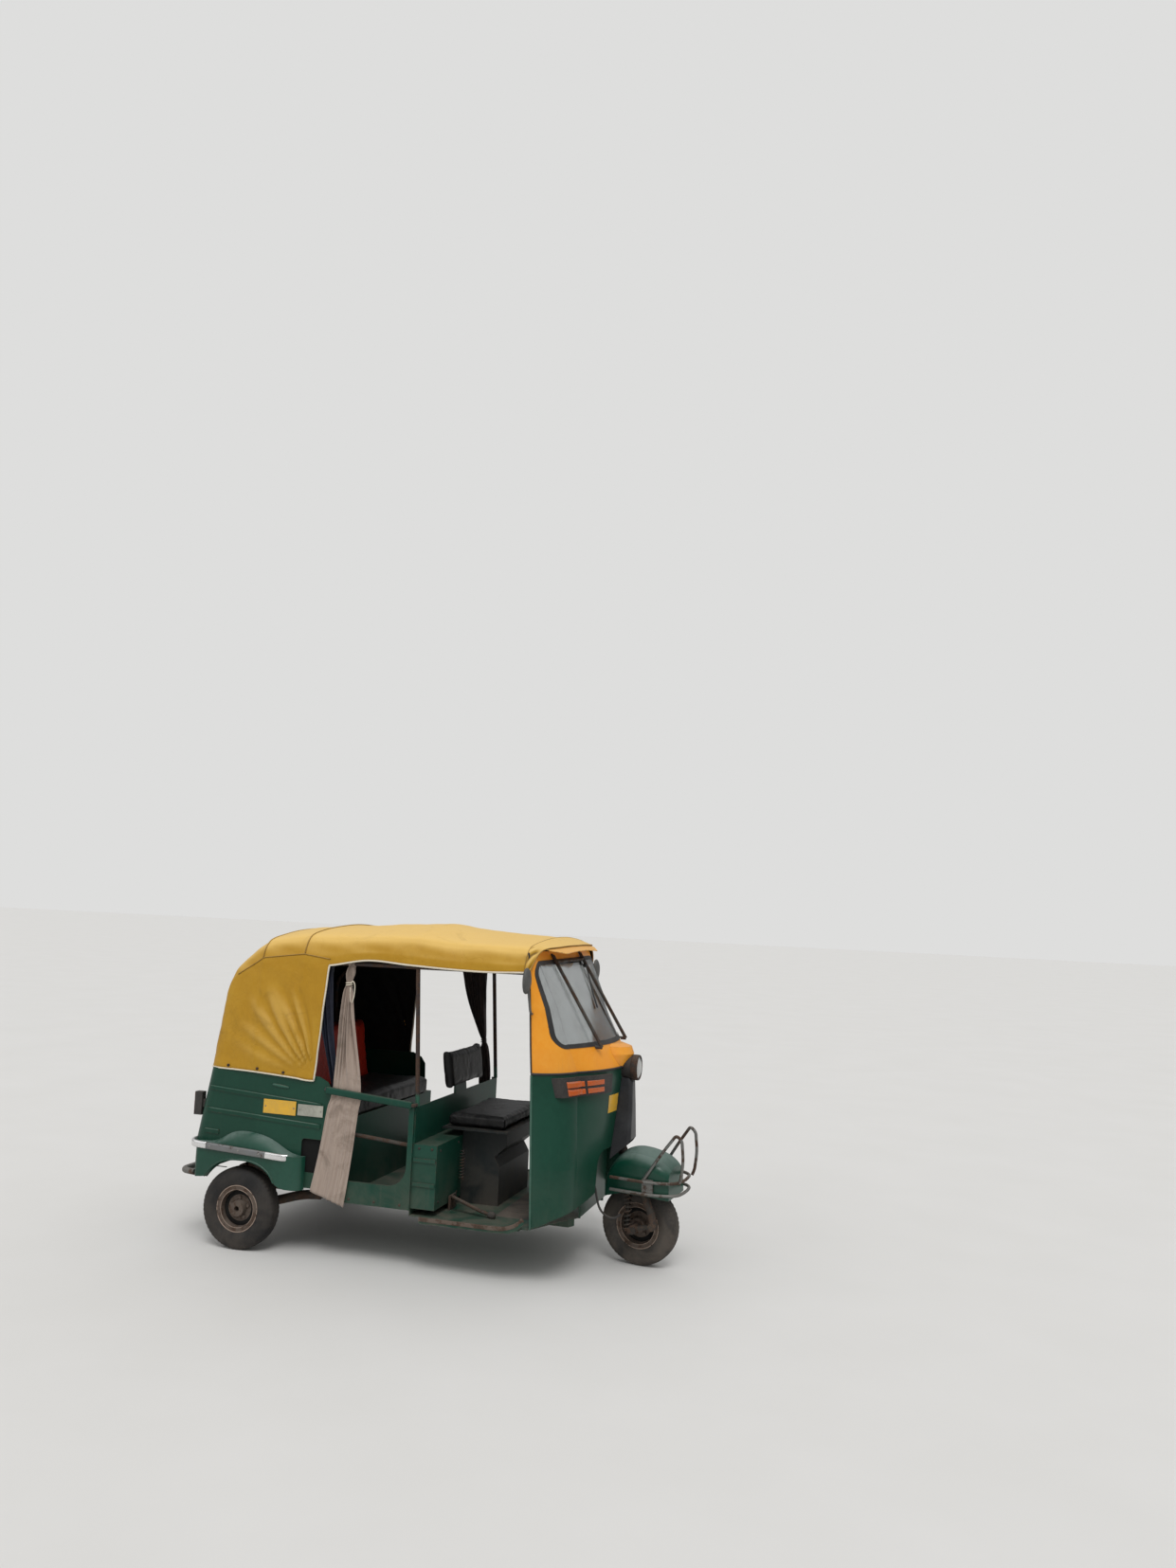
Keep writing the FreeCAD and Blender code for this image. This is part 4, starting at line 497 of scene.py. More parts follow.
makers = {makePaint: paints, makeMetal: metals, makePlastic: plastics, makeVinyl: vinyls, makeCloth: cloths,
          makeLens: lenses, makePlate: plates}
look = {name: make(name, values) for make, table in makers.items() for name, values in table.items()}
look["postPaint"] = makePost("postPaint")
look["screenGlass"] = makeGlass("screenGlass", srgb(176, 181, 182), 0.02, 0.2)
print("materials made,", len(look))


# finishes of the solid nodes

nodeLooks = {
    "cabinGreen": "floor_pan partition seat_base",
    "greenPaint": "front_shield rear_tub engine_lid",
    "fenderGreenWithHighlight": "rear_fenders front_mudguard",
    "yellowPaint": "upper_cowl",
    "visorPaint": "roof_visor",
    "cabinPaint": "driver_seat_box",
    "nosePanel": "nose_panel",
    "screenGlass": "windscreen",
    "mirrorShell": "mirrors",
    "postPaint": "hoop_frame",
    "canopyVinyl": "canopy",
    "redVinyl": "passenger_backrest",
    "blackVinyl": "passenger_seat driver_seat driver_backrest",
    "navyVinyl": "curtain_dark",
    "beigeCloth": "curtain_beige",
    "brownCloth": "curtain_brown",
    "castMetal": "engine",
    "blackRubber": "screen_seal brake_hose",
    "tyreRubber": "front_tyre rear_tyre_right rear_tyre_left",
    "wheelSteel": "front_rim rear_rim_right rear_rim_left",
    "guardSteel": "rear_bumper handlebar front_guard",
    "rustySteel": "screen_guard guard_rails driver_controls exhaust",
    "darkPlastic": "dashboard headlamp turn_lamps tail_lamps",
    "forkSteel": "rear_arms rear_springs steering_column front_fork front_spring",
}
for chosen, labels in nodeLooks.items():
    for node in (cad[label] for label in labels.split()):
        if not node.material_slots:
            node.data.materials.append(look[chosen])
        for place in node.material_slots:
            place.material = look[chosen]
print("nodes finished")


# mesh helpers

flip = np.array([1, -1, 1])


def through(controls, steps):
    # smooth line through rows of controls: each span is the cubic fixed by its ends and their neighbours
    rows = np.asarray(controls, float)
    t = np.linspace(0, len(rows) - 1, steps) if np.isscalar(steps) else np.asarray(steps, float)
    i = np.clip(t.astype(int), 0, len(rows) - 2)
    f = (t - i).reshape((-1,) + (1,) * (rows.ndim - 1))
    ends = np.concatenate([2 * rows[:1] - rows[1:2], rows, 2 * rows[-1:] - rows[-2:-1]])
    a, b, c, d = ends[i], ends[i + 1], ends[i + 2], ends[i + 3]
    square, cube = (2 * a - 5 * b + 4 * c - d) * f ** 2, (3 * b - a - 3 * c + d) * f ** 3
    return 0.5 * (2 * b + (c - a) * f + square + cube)


def unit(v):
    return v / np.maximum(np.linalg.norm(v, axis=-1, keepdims=True), 1e-12)


def ease(low, high, value):
    t = np.clip((value - low) / (high - low), 0, 1)
    return t * t * (3 - 2 * t)


def travel(path):
    # distance along a line of points, from its start
    return np.concatenate([[0], np.cumsum(np.linalg.norm(np.diff(path, axis=0), axis=1))])


def gridFaces(rows, cols, wrapCols=False):
    i = np.arange(rows - 1)[:, None]
    j = np.arange(cols if wrapCols else cols - 1)[None, :]
    nextRow, nextCol = (i + 1) % rows, (j + 1) % cols
    corners = [i * cols + j, i * cols + nextCol, nextRow * cols + nextCol, nextRow * cols + j]
    return np.stack([np.broadcast_to(c, (i.size, j.size)) for c in corners], -1)


def sheetFaces(rows, cols, wrapCols=False):
    return gridFaces(rows, cols, wrapCols).reshape(-1, 4).tolist()


def piece(name, rider, finishes, points, faces, uv=None, smooth=True, closed=False, fold=None):
    mesh = bpy.data.meshes.new(name)
    mesh.from_pydata(np.asarray(points).reshape(-1, 3).tolist(), [], [list(f) for f in faces])
    if uv is not None:
        layer = mesh.uv_layers.new(name="UVMap")
        corner = np.zeros(len(mesh.loops), np.int32)
        mesh.loops.foreach_get("vertex_index", corner)
        layer.data.foreach_set("uv", np.asarray(uv).reshape(-1, 2)[corner].ravel())
    # fold value kept on the points for the vinyl's painted highlight on crests and painted shade in valleys
    if fold is not None:
        layer = mesh.attributes.new("fold", "FLOAT", "POINT")
        layer.data.foreach_set("value", np.asarray(fold, float).ravel())
    for label in [finishes] if isinstance(finishes, str) else finishes:
        mesh.materials.append(look[label])
    if closed:
        shell = bmesh.new()
        shell.from_mesh(mesh)
        bmesh.ops.remove_doubles(shell, verts=shell.verts, dist=1e-6)
        bmesh.ops.recalc_face_normals(shell, faces=shell.faces)
        shell.to_mesh(mesh)
        shell.free()
    mesh.polygons.foreach_set("use_smooth", np.full(len(mesh.polygons), smooth))
    mesh.update()
    made = bpy.data.objects.new(name, mesh)
    scene.collection.objects.link(made)
    if rider:
        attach(made, rider)
    return made


def ringGrid(path, profile, up=(0, 0, 1), scale=None):
    # the profile carried along the path: side is tangent x up, and the profile lies in side and their cross
    path = np.asarray(path, float)
    ahead = unit(np.gradient(path, axis=0))
    side = unit(np.cross(ahead, np.asarray(up, float)))
    over = np.cross(side, ahead)
    section = np.asarray(profile, float)[None]
    if scale is not None:
        section = section * np.asarray(scale)[:, None, None]
    return path[:, None] + section[..., :1] * side[:, None] + section[..., 1:] * over[:, None]


def circle(radius, count):
    a = np.linspace(0, 2 * math.pi, count, endpoint=False)
    return np.stack([np.cos(a), np.sin(a)], -1) * radius


def tubeParts(path, profile, up=(0, 0, 1), scale=None):
    rings = ringGrid(path, profile, up, scale)
    rows, cols = rings.shape[:2]
    faces = sheetFaces(rows, cols, True)
    caps = [list(range(cols))[::-1], [(rows - 1) * cols + k for k in range(cols)]]
    return rings.reshape(-1, 3), faces + caps


def gathered(parts):
    # several meshes as one
    points, faces, start = [], [], 0
    for some, own in parts:
        points.append(np.asarray(some).reshape(-1, 3))
        faces += [[k + start for k in f] for f in own]
        start += len(points[-1])
    return np.concatenate(points), faces


def turned(points, centre, normal):
    # carries a shape drawn round the Z axis to a place and a facing
    turn = np.array(Vector((0, 0, 1)).rotation_difference(Vector(normal)).to_matrix())
    return np.asarray(points) @ turn.T + np.asarray(centre, float)


def placed(parts, centre, normal):
    # the points and faces of such a shape, carried there
    return turned(parts[0], centre, normal), parts[1]


def latheParts(profile, count):
    # profile of (radius, height) turned about Z
    profile = np.asarray(profile, float)
    a = np.linspace(0, 2 * math.pi, count, endpoint=False)
    rings = np.stack([profile[:, :1] * np.cos(a), profile[:, :1] * np.sin(a),
                      np.broadcast_to(profile[:, 1:], (len(profile), count))], -1)
    faces = gridFaces(len(profile), count, True)[..., ::-1]
    return rings.reshape(-1, 3), faces.reshape(-1, 4).tolist()


def domes(places, radius, height, count=10):
    # small round heads at (place, facing)
    profile = [(0.0001, height), (radius * 0.6, height * 0.86), (radius, height * 0.25), (radius, -height)]
    return gathered([placed(latheParts(profile, count), place, facing) for place, facing in places])


def trim(name, finishes, made, rider="body", smooth=True, closed=True):
    # one piece out of several meshes
    shape, faces = gathered(made)
    piece(name, rider, finishes, shape, faces, smooth=smooth, closed=closed)


def thickened(made, thickness, offset=0, lining=0):
    # live thickness of a sheet; its area is that of one side
    wall = made.modifiers.new("thickness", "SOLIDIFY")
    wall.thickness = thickness
    wall.offset = offset
    wall.material_offset = lining
    return sum(f.area for f in made.data.polygons)


# brake hose

hoseRoute = {"points": [(0.8003, -0.176, 0.452), (0.822, -0.176, 0.452), (0.846, -0.176, 0.432),
                        (0.858, -0.175, 0.396), (0.866, -0.174, 0.352), (0.880, -0.173, 0.306),
                        (0.908, -0.172, 0.276), (0.944, -0.170, 0.262), (0.974, -0.165, 0.268),
                        (0.988, -0.158, 0.286)],
             "diameter": 0.011, "steps": 12}


def makeHose():
    # tube round the smooth line that the route's points control
    points = hoseRoute["points"]
    line = bpy.data.curves.new("brakeHoseLine", "CURVE")
    line.dimensions = "3D"
    spline = line.splines.new("NURBS")
    spline.points.add(len(points) - 1)
    for spot, place in zip(spline.points, points):
        spot.co = (*place, 1)
    spline.order_u = 3
    spline.use_endpoint_u = True
    spline.resolution_u = hoseRoute["steps"]
    guide = bpy.data.objects.new("brakeHoseLine", line)
    scene.collection.objects.link(guide)
    mesh = bpy.data.meshes.new_from_object(guide)
    path = np.array([v.co for v in mesh.vertices])
    bpy.data.objects.remove(guide)
    bpy.data.meshes.remove(mesh)
    shape, faces = tubeParts(path, circle(hoseRoute["diameter"] / 2, 14), up=(0.2, 1, 0))
    hose = piece("brakeHose", None, "blackRubber", shape, faces, closed=True)
    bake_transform(hose)
    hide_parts("brake_hose")


makeHose()


# canopy

canopyShape = {
    "flat": (2.62, 2.36), "rows": 200, "cols": 160, "thickness": 0.0025, "foldCentre": (-0.556, 0.896),
    "hoopRise": 0.004, "sag": 0.008,
    "wave": 0.0022, "crumple": 0.0009, "hoops": (3.0, 6.0, 8.0),
    # radii of the sewn cords: door, hem, side seam, hoop welts
    "doorCord": 0.0048, "hemCord": 0.0042, "seamCord": 0.0034, "weltCord": 0.0036,
    # folds of the side: angle and width in degrees, depth, where each starts and dies away
    "folds": [(15, 5.0, 0.008, 0.10, 0.62), (28, 5.0, 0.013, 0.06, 0.62), (39, 4.5, 0.017, 0.03, 0.66),
              (51, 4.5, 0.018, 0.03, 0.60), (62, 4.0, 0.021, 0.02, 0.60), (74, 3.6, 0.017, 0.02, 0.54),
              (84, 2.6, 0.004, 0.06, 0.40)],
    # side seam by x and z, and the stations whose hoops carry a welt above it
    "seam": [(-1.085, 1.390), (-0.911, 1.498), (-0.671, 1.529), (-0.505, 1.508)], "welts": (6.0, 8.0),
    "studs": [-1.06, -0.89, -0.73],
}
# a row per station: x at foot, shoulder and top; half widths and heights of foot, shoulder, crown; top height
canopyStations = [
    (0.564, 0.564, 0.564, 0.585, 0.908, 0.578, 1.500, 0.472, 1.629, 1.663),
    (0.360, 0.360, 0.360, 0.586, 0.908, 0.579, 1.492, 0.472, 1.636, 1.674),
    (0.160, 0.160, 0.160, 0.586, 0.908, 0.579, 1.494, 0.472, 1.642, 1.686),
    (-0.066, -0.066, -0.066, 0.587, 0.908, 0.580, 1.503, 0.472, 1.654, 1.706),
    (-0.300, -0.300, -0.300, 0.588, 0.908, 0.581, 1.514, 0.470, 1.652, 1.699),
    (-0.558, -0.520, -0.500, 0.5985, 0.885, 0.583, 1.478, 0.464, 1.645, 1.688),
    (-0.671, -0.671, -0.671, 0.5990, 0.892, 0.582, 1.478, 0.460, 1.637, 1.675),
    (-0.791, -0.791, -0.791, 0.5990, 0.899, 0.579, 1.460, 0.456, 1.624, 1.662),
    (-0.911, -0.915, -0.920, 0.5985, 0.905, 0.575, 1.436, 0.451, 1.601, 1.643),
    (-1.028, -1.026, -1.032, 0.5955, 0.908, 0.566, 1.384, 0.436, 1.524, 1.560),
    (-1.130, -1.110, -1.098, 0.5860, 0.908, 0.552, 1.334, 0.418, 1.448, 1.478),
    (-1.181, -1.150, -1.132, 0.5560, 0.908, 0.518, 1.280, 0.388, 1.370, 1.396),
]


def canopyControls():
    # half section of eight points per station, mirrored, then shrinking rows down the rear wall
    table = np.array(canopyStations)
    xf, xs, xt, hf, zf, hs, zs, hc, zc, zt = table.T[:, :, None]
    one = np.ones_like(xf)
    side = np.array([0.0, 0.34, 0.68, 1.0])
    foot = np.stack([xf + (xs - xf) * side, -(hf + (hs - hf) * side) - 0.004 * np.sin(side * math.pi),
                     zf + (zs - zf) * side], -1)
    corner = np.concatenate([
        np.stack([xs + (xt - xs) * 0.2, -(hs * 0.90 + hc * 0.10), zs + (zc - zs) * 0.40], -1),
        np.stack([xs + (xt - xs) * 0.4, -(hs * 0.62 + hc * 0.38), zs + (zc - zs) * 0.78], -1),
        np.stack([xs + (xt - xs) * 0.6, -hc, zc], -1),
        np.stack([xt, -hc * 0.52, zc + (zt - zc) * 0.73], -1),
        np.stack([xt, 0 * one, zt], -1)], 1)
    half = np.concatenate([foot, corner], 1)
    other = half[:, -2::-1] * flip
    ring = np.concatenate([half, other], 1)
    last = ring[-1]
    wall = []
    for share in (0.94, 0.78, 0.58, 0.36, 0.14, 0.0):
        low = last[0, 2]
        height = low + (last[:, 2] - low) * share
        place = np.stack([-1.1940 + (height - low) * 0.1090, last[:, 1] * share, height], -1)
        wall.append(place)
    return np.concatenate([ring, np.array(wall)])


def canopyGrid():
    controls = canopyControls()
    shape = canopyShape
    spans = np.linalg.norm(np.diff(controls[:, 8], axis=0), axis=1)
    spans[-6:] = np.maximum(spans[-6:], 0.03)
    reach = np.concatenate([[0], np.cumsum(spans)])
    rowAt = np.interp(np.linspace(0, reach[-1], shape["rows"]), reach, np.arange(len(controls)))
    rowAt[np.argmin(np.abs(rowAt - 5))] = 5.0
    around = np.array([0, 1, 2, 3, 3.5, 4, 4.5, 5, 5.5, 6, 7, 8])
    share = np.array([0, 0.13, 0.26, 0.39, 0.44, 0.50, 0.56, 0.62, 0.67, 0.73, 0.87, 1.0])
    halfCols = shape["cols"] // 2
    colAt = np.interp(np.linspace(0, 1, halfCols + 1), share, around)
    colAt[np.argmin(np.abs(colAt - 3))] = 3.0
    colAt = np.concatenate([colAt, 16 - colAt[-2::-1]])
    surface = through(controls, rowAt)
    surface = through(surface.swapaxes(0, 1), colAt).swapaxes(0, 1)
    return surface, rowAt, colAt


def foldCloth(surface, rowAt, colAt):
    # folds fan out from the lower front corner, cloth tents over the hoops and sags between them; the
    # returned fold value marks crests for a painted highlight and valleys for painted shade
    shape = canopyShape
    down = np.gradient(surface, axis=0)
    across = np.gradient(surface, axis=1)
    normal = unit(np.cross(across, down))
    outward = np.sign((normal * (surface - np.array([-0.4, 0, 1.1]))).sum(-1, keepdims=True))
    normal = normal * np.where(outward == 0, 1, outward)
    x, z = surface[..., 0], surface[..., 2]
    dx, dz = shape["foldCentre"][0] - x, z - shape["foldCentre"][1]
    reach = np.hypot(dx, dz)
    angle = np.degrees(np.arctan2(dz, dx))
    onSide = (rowAt[:, None] >= 5) * (1 - ease(3.0, 3.8, np.minimum(colAt, 16 - colAt)))[None]
    onSide = onSide * (1 - ease(10, 11, rowAt))[:, None]
    push = np.zeros_like(x)
    for centre, width, depth, start, end in shape["folds"]:
        bend = centre + 5 * np.sin(centre) * ease(0.15, 0.6, reach)
        rise = ease(start, start + 0.14, reach) * (1 - ease(0.6 * end, end, reach))
        crest = np.exp(-np.abs((angle - bend) / width) ** 1.4)
        push += depth * (crest - 0.55 * np.exp(-((angle - bend - 1.3 * width) / (0.8 * width)) ** 2)) * rise
    lift = push * onSide
    # fold depth as a value from -1 to 1, for painted highlight on crests and painted shade in valleys
    fold = np.clip(lift / 0.012, -1, 1)
    near = np.exp(-(np.abs(rowAt[:, None] - np.array(shape["hoops"])).min(1) / 0.14) ** 2)
    between = -shape["sag"] * np.sin(np.clip(rowAt, 0, 10) / 10 * 3 * math.pi) ** 2
    lift += (shape["hoopRise"] * near + between * 0.5)[:, None] * np.ones_like(x)
    wave = np.sin(x * 17 + np.sin(z * 9) * 2.2) * np.sin(z * 21 + x * 6 + surface[..., 1] * 5)
    crumple = np.sin(x * 43 + z * 31 + surface[..., 1] * 12) * np.sin(z * 57 - x * 23)
    lift += shape["wave"] * wave + shape["crumple"] * crumple
    hem = np.minimum(colAt, 16 - colAt)
    lift *= ease(0.0, 0.35, hem)[None] * ease(0, 0.25, rowAt)[:, None]
    # crumples by the hoops push the value down, towards painted shade
    fold = np.clip(fold * 0.8 - 0.32 * near[:, None] * ease(-1, 1, crumple), -1, 1)
    return surface + normal * lift[..., None], fold, normal


def makeCanopy():
    surface, rowAt, colAt = canopyGrid()
    cloth, fold, normal = foldCloth(surface, rowAt, colAt)
    rows, cols = cloth.shape[:2]
    faces = gridFaces(rows, cols)
    door = int(np.flatnonzero(rowAt == 5.0)[0])
    low = int(np.flatnonzero(colAt == 3.0)[0])
    keep = np.ones(faces.shape[:2], bool)
    keep[:door, :low] = False
    keep[:door, cols - 1 - low:] = False
    uv = np.stack(np.meshgrid(travel(cloth[door + 4]), travel(cloth[:, cols // 2])), -1)
    kept = faces[keep]
    used, again = np.unique(kept, return_inverse=True)
    canopy = piece("canopySheet", "body", ["canopyVinyl", "canopyLining"], cloth.reshape(-1, 3)[used],
                   again.reshape(kept.shape).tolist(), uv.reshape(-1, 2)[used], fold=fold.reshape(-1)[used])
    area = thickened(canopy, canopyShape["thickness"], -1, 1)
    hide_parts("canopy")
    trims = canopyTrims(cloth, normal, rowAt, door, low)
    print("canopy area", round(area, 3))


def canopyTrims(cloth, normal, rowAt, door, low):
    # white cord along the door opening and hem, sewn welts over the hoops and along the side seam, hem studs
    cols = cloth.shape[1]
    shape = canopyShape
    raised = cloth + normal * 0.001
    cord, welts, studs = [], [], []
    seamX, seamZ = np.array(shape["seam"]).T
    middle = cols // 2
    for side, edge, end in ((1, low, 0), (-1, cols - 1 - low, cols - 1)):
        drop = cloth[door, edge:end + 1] if end else cloth[door, edge::-1]
        cord.append(tubeParts(cloth[:door + 1, edge], circle(shape["doorCord"], 8)))
        cord.append(tubeParts(drop, circle(shape["doorCord"], 8), up=(1, 0, 0)))
        cord.append(tubeParts(cloth[door:-8, end], circle(shape["hemCord"], 8)))
        half = raised[:, :middle + 1] if side > 0 else raised[:, :middle - 1:-1]
        line = []
        for row in range(door, int(np.argmin(np.abs(rowAt - 9.6)))):
            height = np.interp(half[row, low, 0], seamX, seamZ)
            line.append([np.interp(height, half[row, :, 2], half[row, :, k]) for k in (0, 1)] + [height])
        welts.append(tubeParts(np.array(line), circle(shape["seamCord"], 6)))
        hem = cloth[door:, end]
        for x in shape["studs"]:
            spot = hem[np.argmin(np.abs(hem[:, 0] - x))]
            studs.append(((spot[0], spot[1] - side * 0.004, spot[2] + 0.018), (0, -side, 0)))
    for station in shape["welts"]:
        row = int(np.argmin(np.abs(rowAt - station)))
        above = np.flatnonzero(raised[row, :, 2] > np.interp(raised[row, low, 0], seamX, seamZ))
        over = raised[row, above[0]:above[-1] + 1]
        welts.append(tubeParts(over, circle(shape["weltCord"], 6), up=(1, 0, 0)))
    trims = []
    for name, made, chosen in (("canopyPiping", cord, "whitePiping"), ("canopyWelts", welts, "weltVinyl")):
        trims.append(piece(name, "body", chosen, *gathered(made), closed=True))
    trims.append(piece("canopyStuds", "body", "forkSteel", *domes(studs, 0.0075, 0.004), closed=True))
    return trims


apronShape = {
    "flat": (1.60, 0.115), "rows": 26, "half": 91, "bow": 0.004, "drag": 0.0030,
    # half lines of the apron over the visor: where it is sewn to the canopy, and its free front edge
    "sewn": [(0.556, 0.0, 1.6675), (0.556, -0.150, 1.6645), (0.556, -0.300, 1.6535), (0.556, -0.400, 1.6425),
             (0.556, -0.452, 1.6345), (0.556, -0.503, 1.6250), (0.556, -0.5445, 1.6005),
             (0.556, -0.5765, 1.5490), (0.556, -0.5885, 1.4900)],
    "free": [(0.654, 0.0, 1.6270), (0.650, -0.150, 1.6270), (0.640, -0.300, 1.6225), (0.624, -0.400, 1.6190),
             (0.606, -0.452, 1.6090), (0.598, -0.500, 1.5900), (0.593, -0.540, 1.5600),
             (0.586, -0.570, 1.5200), (0.574, -0.5860, 1.4820)],
}


def makeApron():
    # cloth carried from the canopy over the visor and round the post heads, with drag folds at each corner
    shape = apronShape
    rows, half = shape["rows"], shape["half"]
    sewn, free = (through(shape[k], half) for k in ("sewn", "free"))
    sewn, free = (np.concatenate([e[::-1], e[1:] * flip]) for e in (sewn, free))
    v = np.linspace(0, 1, rows)[:, None, None]
    sheet = sewn * (1 - v) + free * v
    across = np.gradient(sheet, axis=1)
    along = np.gradient(sheet, axis=0)
    normal = unit(np.cross(along, across))
    normal = normal * np.sign((normal * (sheet - np.array([0.4, 0, 1.2]))).sum(-1, keepdims=True))
    u = np.abs(np.linspace(-1, 1, 2 * half - 1))[None]
    v = v[..., 0]
    bow = shape["bow"] * np.sin(math.pi * v) * ease(0.35, 0.6, u)
    drag = np.sin(26 * u + 9 * v) * np.sin(math.pi * v) ** 0.6
    drag = drag * ease(0.50, 0.66, u) * (1 - ease(0.92, 1.0, u))
    sheet = sheet + normal * (bow + shape["drag"] * drag)[..., None]
    count = sheet.shape[1]
    uv = np.stack(np.meshgrid(np.linspace(0, 1.6, count), np.linspace(0, 0.1, rows)), -1)
    # drag folds passed on as painted highlight on crests and painted shade in valleys
    apron = piece("canopyApron", "body", ["canopyVinyl", "canopyLining"], sheet,
                  gridFaces(rows, count).reshape(-1, 4)[:, ::-1].tolist(), uv, fold=drag)
    area = thickened(apron, canopyShape["thickness"], 0, 1)
    hems = [tubeParts(sheet[row], circle(radius, count), up=(0, 0.3, 1))
            for row, radius, count in ((-1, 0.0034, 8), (1, 0.0026, 6))]
    trim("apronHem", "weltVinyl", hems)


makeCanopy()
makeApron()


# plan lines of the front skin, as the source has them: height, door edge x and half width,
# corner x and half width, nose x, corner bulge
frontRows = np.array([
    (0.268, 0.648, 0.596, 0.838, 0.505, 0.882, 0.040), (0.560, 0.636, 0.594, 0.836, 0.470, 0.905, 0.040),
    (1.010, 0.612, 0.578, 0.800, 0.400, 0.945, 0.026), (1.128, 0.602, 0.574, 0.762, 0.432, 0.884, 0.026),
    (1.330, 0.588, 0.568, 0.692, 0.445, 0.748, 0.022), (1.560, 0.566, 0.556, 0.588, 0.470, 0.596, 0.006),
    (1.600, 0.562, 0.552, 0.574, 0.470, 0.580, 0.004)])


def arcThrough(a, m, b, count):
    # the circle through three plan points, sampled from the first to the last
    a, m, b = (np.asarray(v, float) for v in (a, m, b))
    rows = 2 * np.array([m - a, b - a])
    centre = np.linalg.solve(rows, np.array([m @ m - a @ a, b @ b - a @ a]))
    angles = [math.atan2(*(v - centre)[::-1]) for v in (a, m, b)]
    angles = np.unwrap(angles)
    t = np.linspace(angles[0], angles[2], count)
    return centre + np.linalg.norm(a - centre) * np.stack([np.cos(t), np.sin(t)], -1)


def skinPlan(height, outset=0.0, count=24):
    # plan points of the skin at a height, from the right door edge round the nose to the left one
    heights, *columns = frontRows.T
    door, half, corner, cornerHalf, nose, bulge = (np.interp(height, heights, column) for column in columns)
    a = np.array([door, -half - outset])
    c = np.array([corner + 0.7 * outset, -cornerHalf - 0.7 * outset])
    side = arcThrough(a, (a + c) / 2 + np.array([bulge, -bulge]), c, count)
    front = arcThrough(c, (nose + outset, 0), c * np.array([1, -1]), 2 * count)
    other = side[::-1] * np.array([1, -1])
    return np.concatenate([side[:-1], front, other[1:]])


def skinLine(height, outset, low, high, count):
    # stretch of the skin between two values of y
    plan = skinPlan(height, outset, 60)
    y = np.linspace(low, high, count)
    return np.stack([np.interp(y, plan[:, 1], plan[:, 0]), y, np.full(count, height)], -1)


def tubSide(height):
    # how far out the tub's side stands at a height
    return float(np.interp(height, [0.345, 0.532, 0.908], [0.592, 0.598, 0.590]))


def tubRear(height):
    return float(np.interp(height, [0.345, 0.532, 0.908], [-1.252, -1.247, -1.186]))


def rectangle(rear, front, low, high):
    return (rear, low), (front, low), (front, high), (rear, high)


def slab(corners, out, thick, bow=0.0, steps=12):
    # four corners in order, filled with a grid and given a thickness along out
    a, b, c, d = (np.asarray(v, float) for v in corners)
    u = np.linspace(0, 1, steps)[None, :, None]
    v = np.linspace(0, 1, steps)[:, None, None]
    grid = (1 - v) * ((1 - u) * a + u * b) + v * ((1 - u) * d + u * c)
    out = np.asarray(out, float)
    grid = grid + bow * (np.sin(np.pi * u) * np.sin(np.pi * v)) * out
    both = np.concatenate([(grid + thick * out).reshape(-1, 3), grid.reshape(-1, 3)])
    face = gridFaces(steps, steps).reshape(-1, 4)
    rim = np.concatenate([np.arange(steps), np.arange(1, steps) * steps + steps - 1,
                          steps * steps - 2 - np.arange(steps - 1), np.arange(steps - 2, 0, -1) * steps])
    again = np.roll(rim, -1)
    size = steps * steps
    walls = np.stack([rim, rim + size, again + size, again], -1)
    return both, np.concatenate([face, face[:, ::-1] + size, walls]).tolist()


# curtains

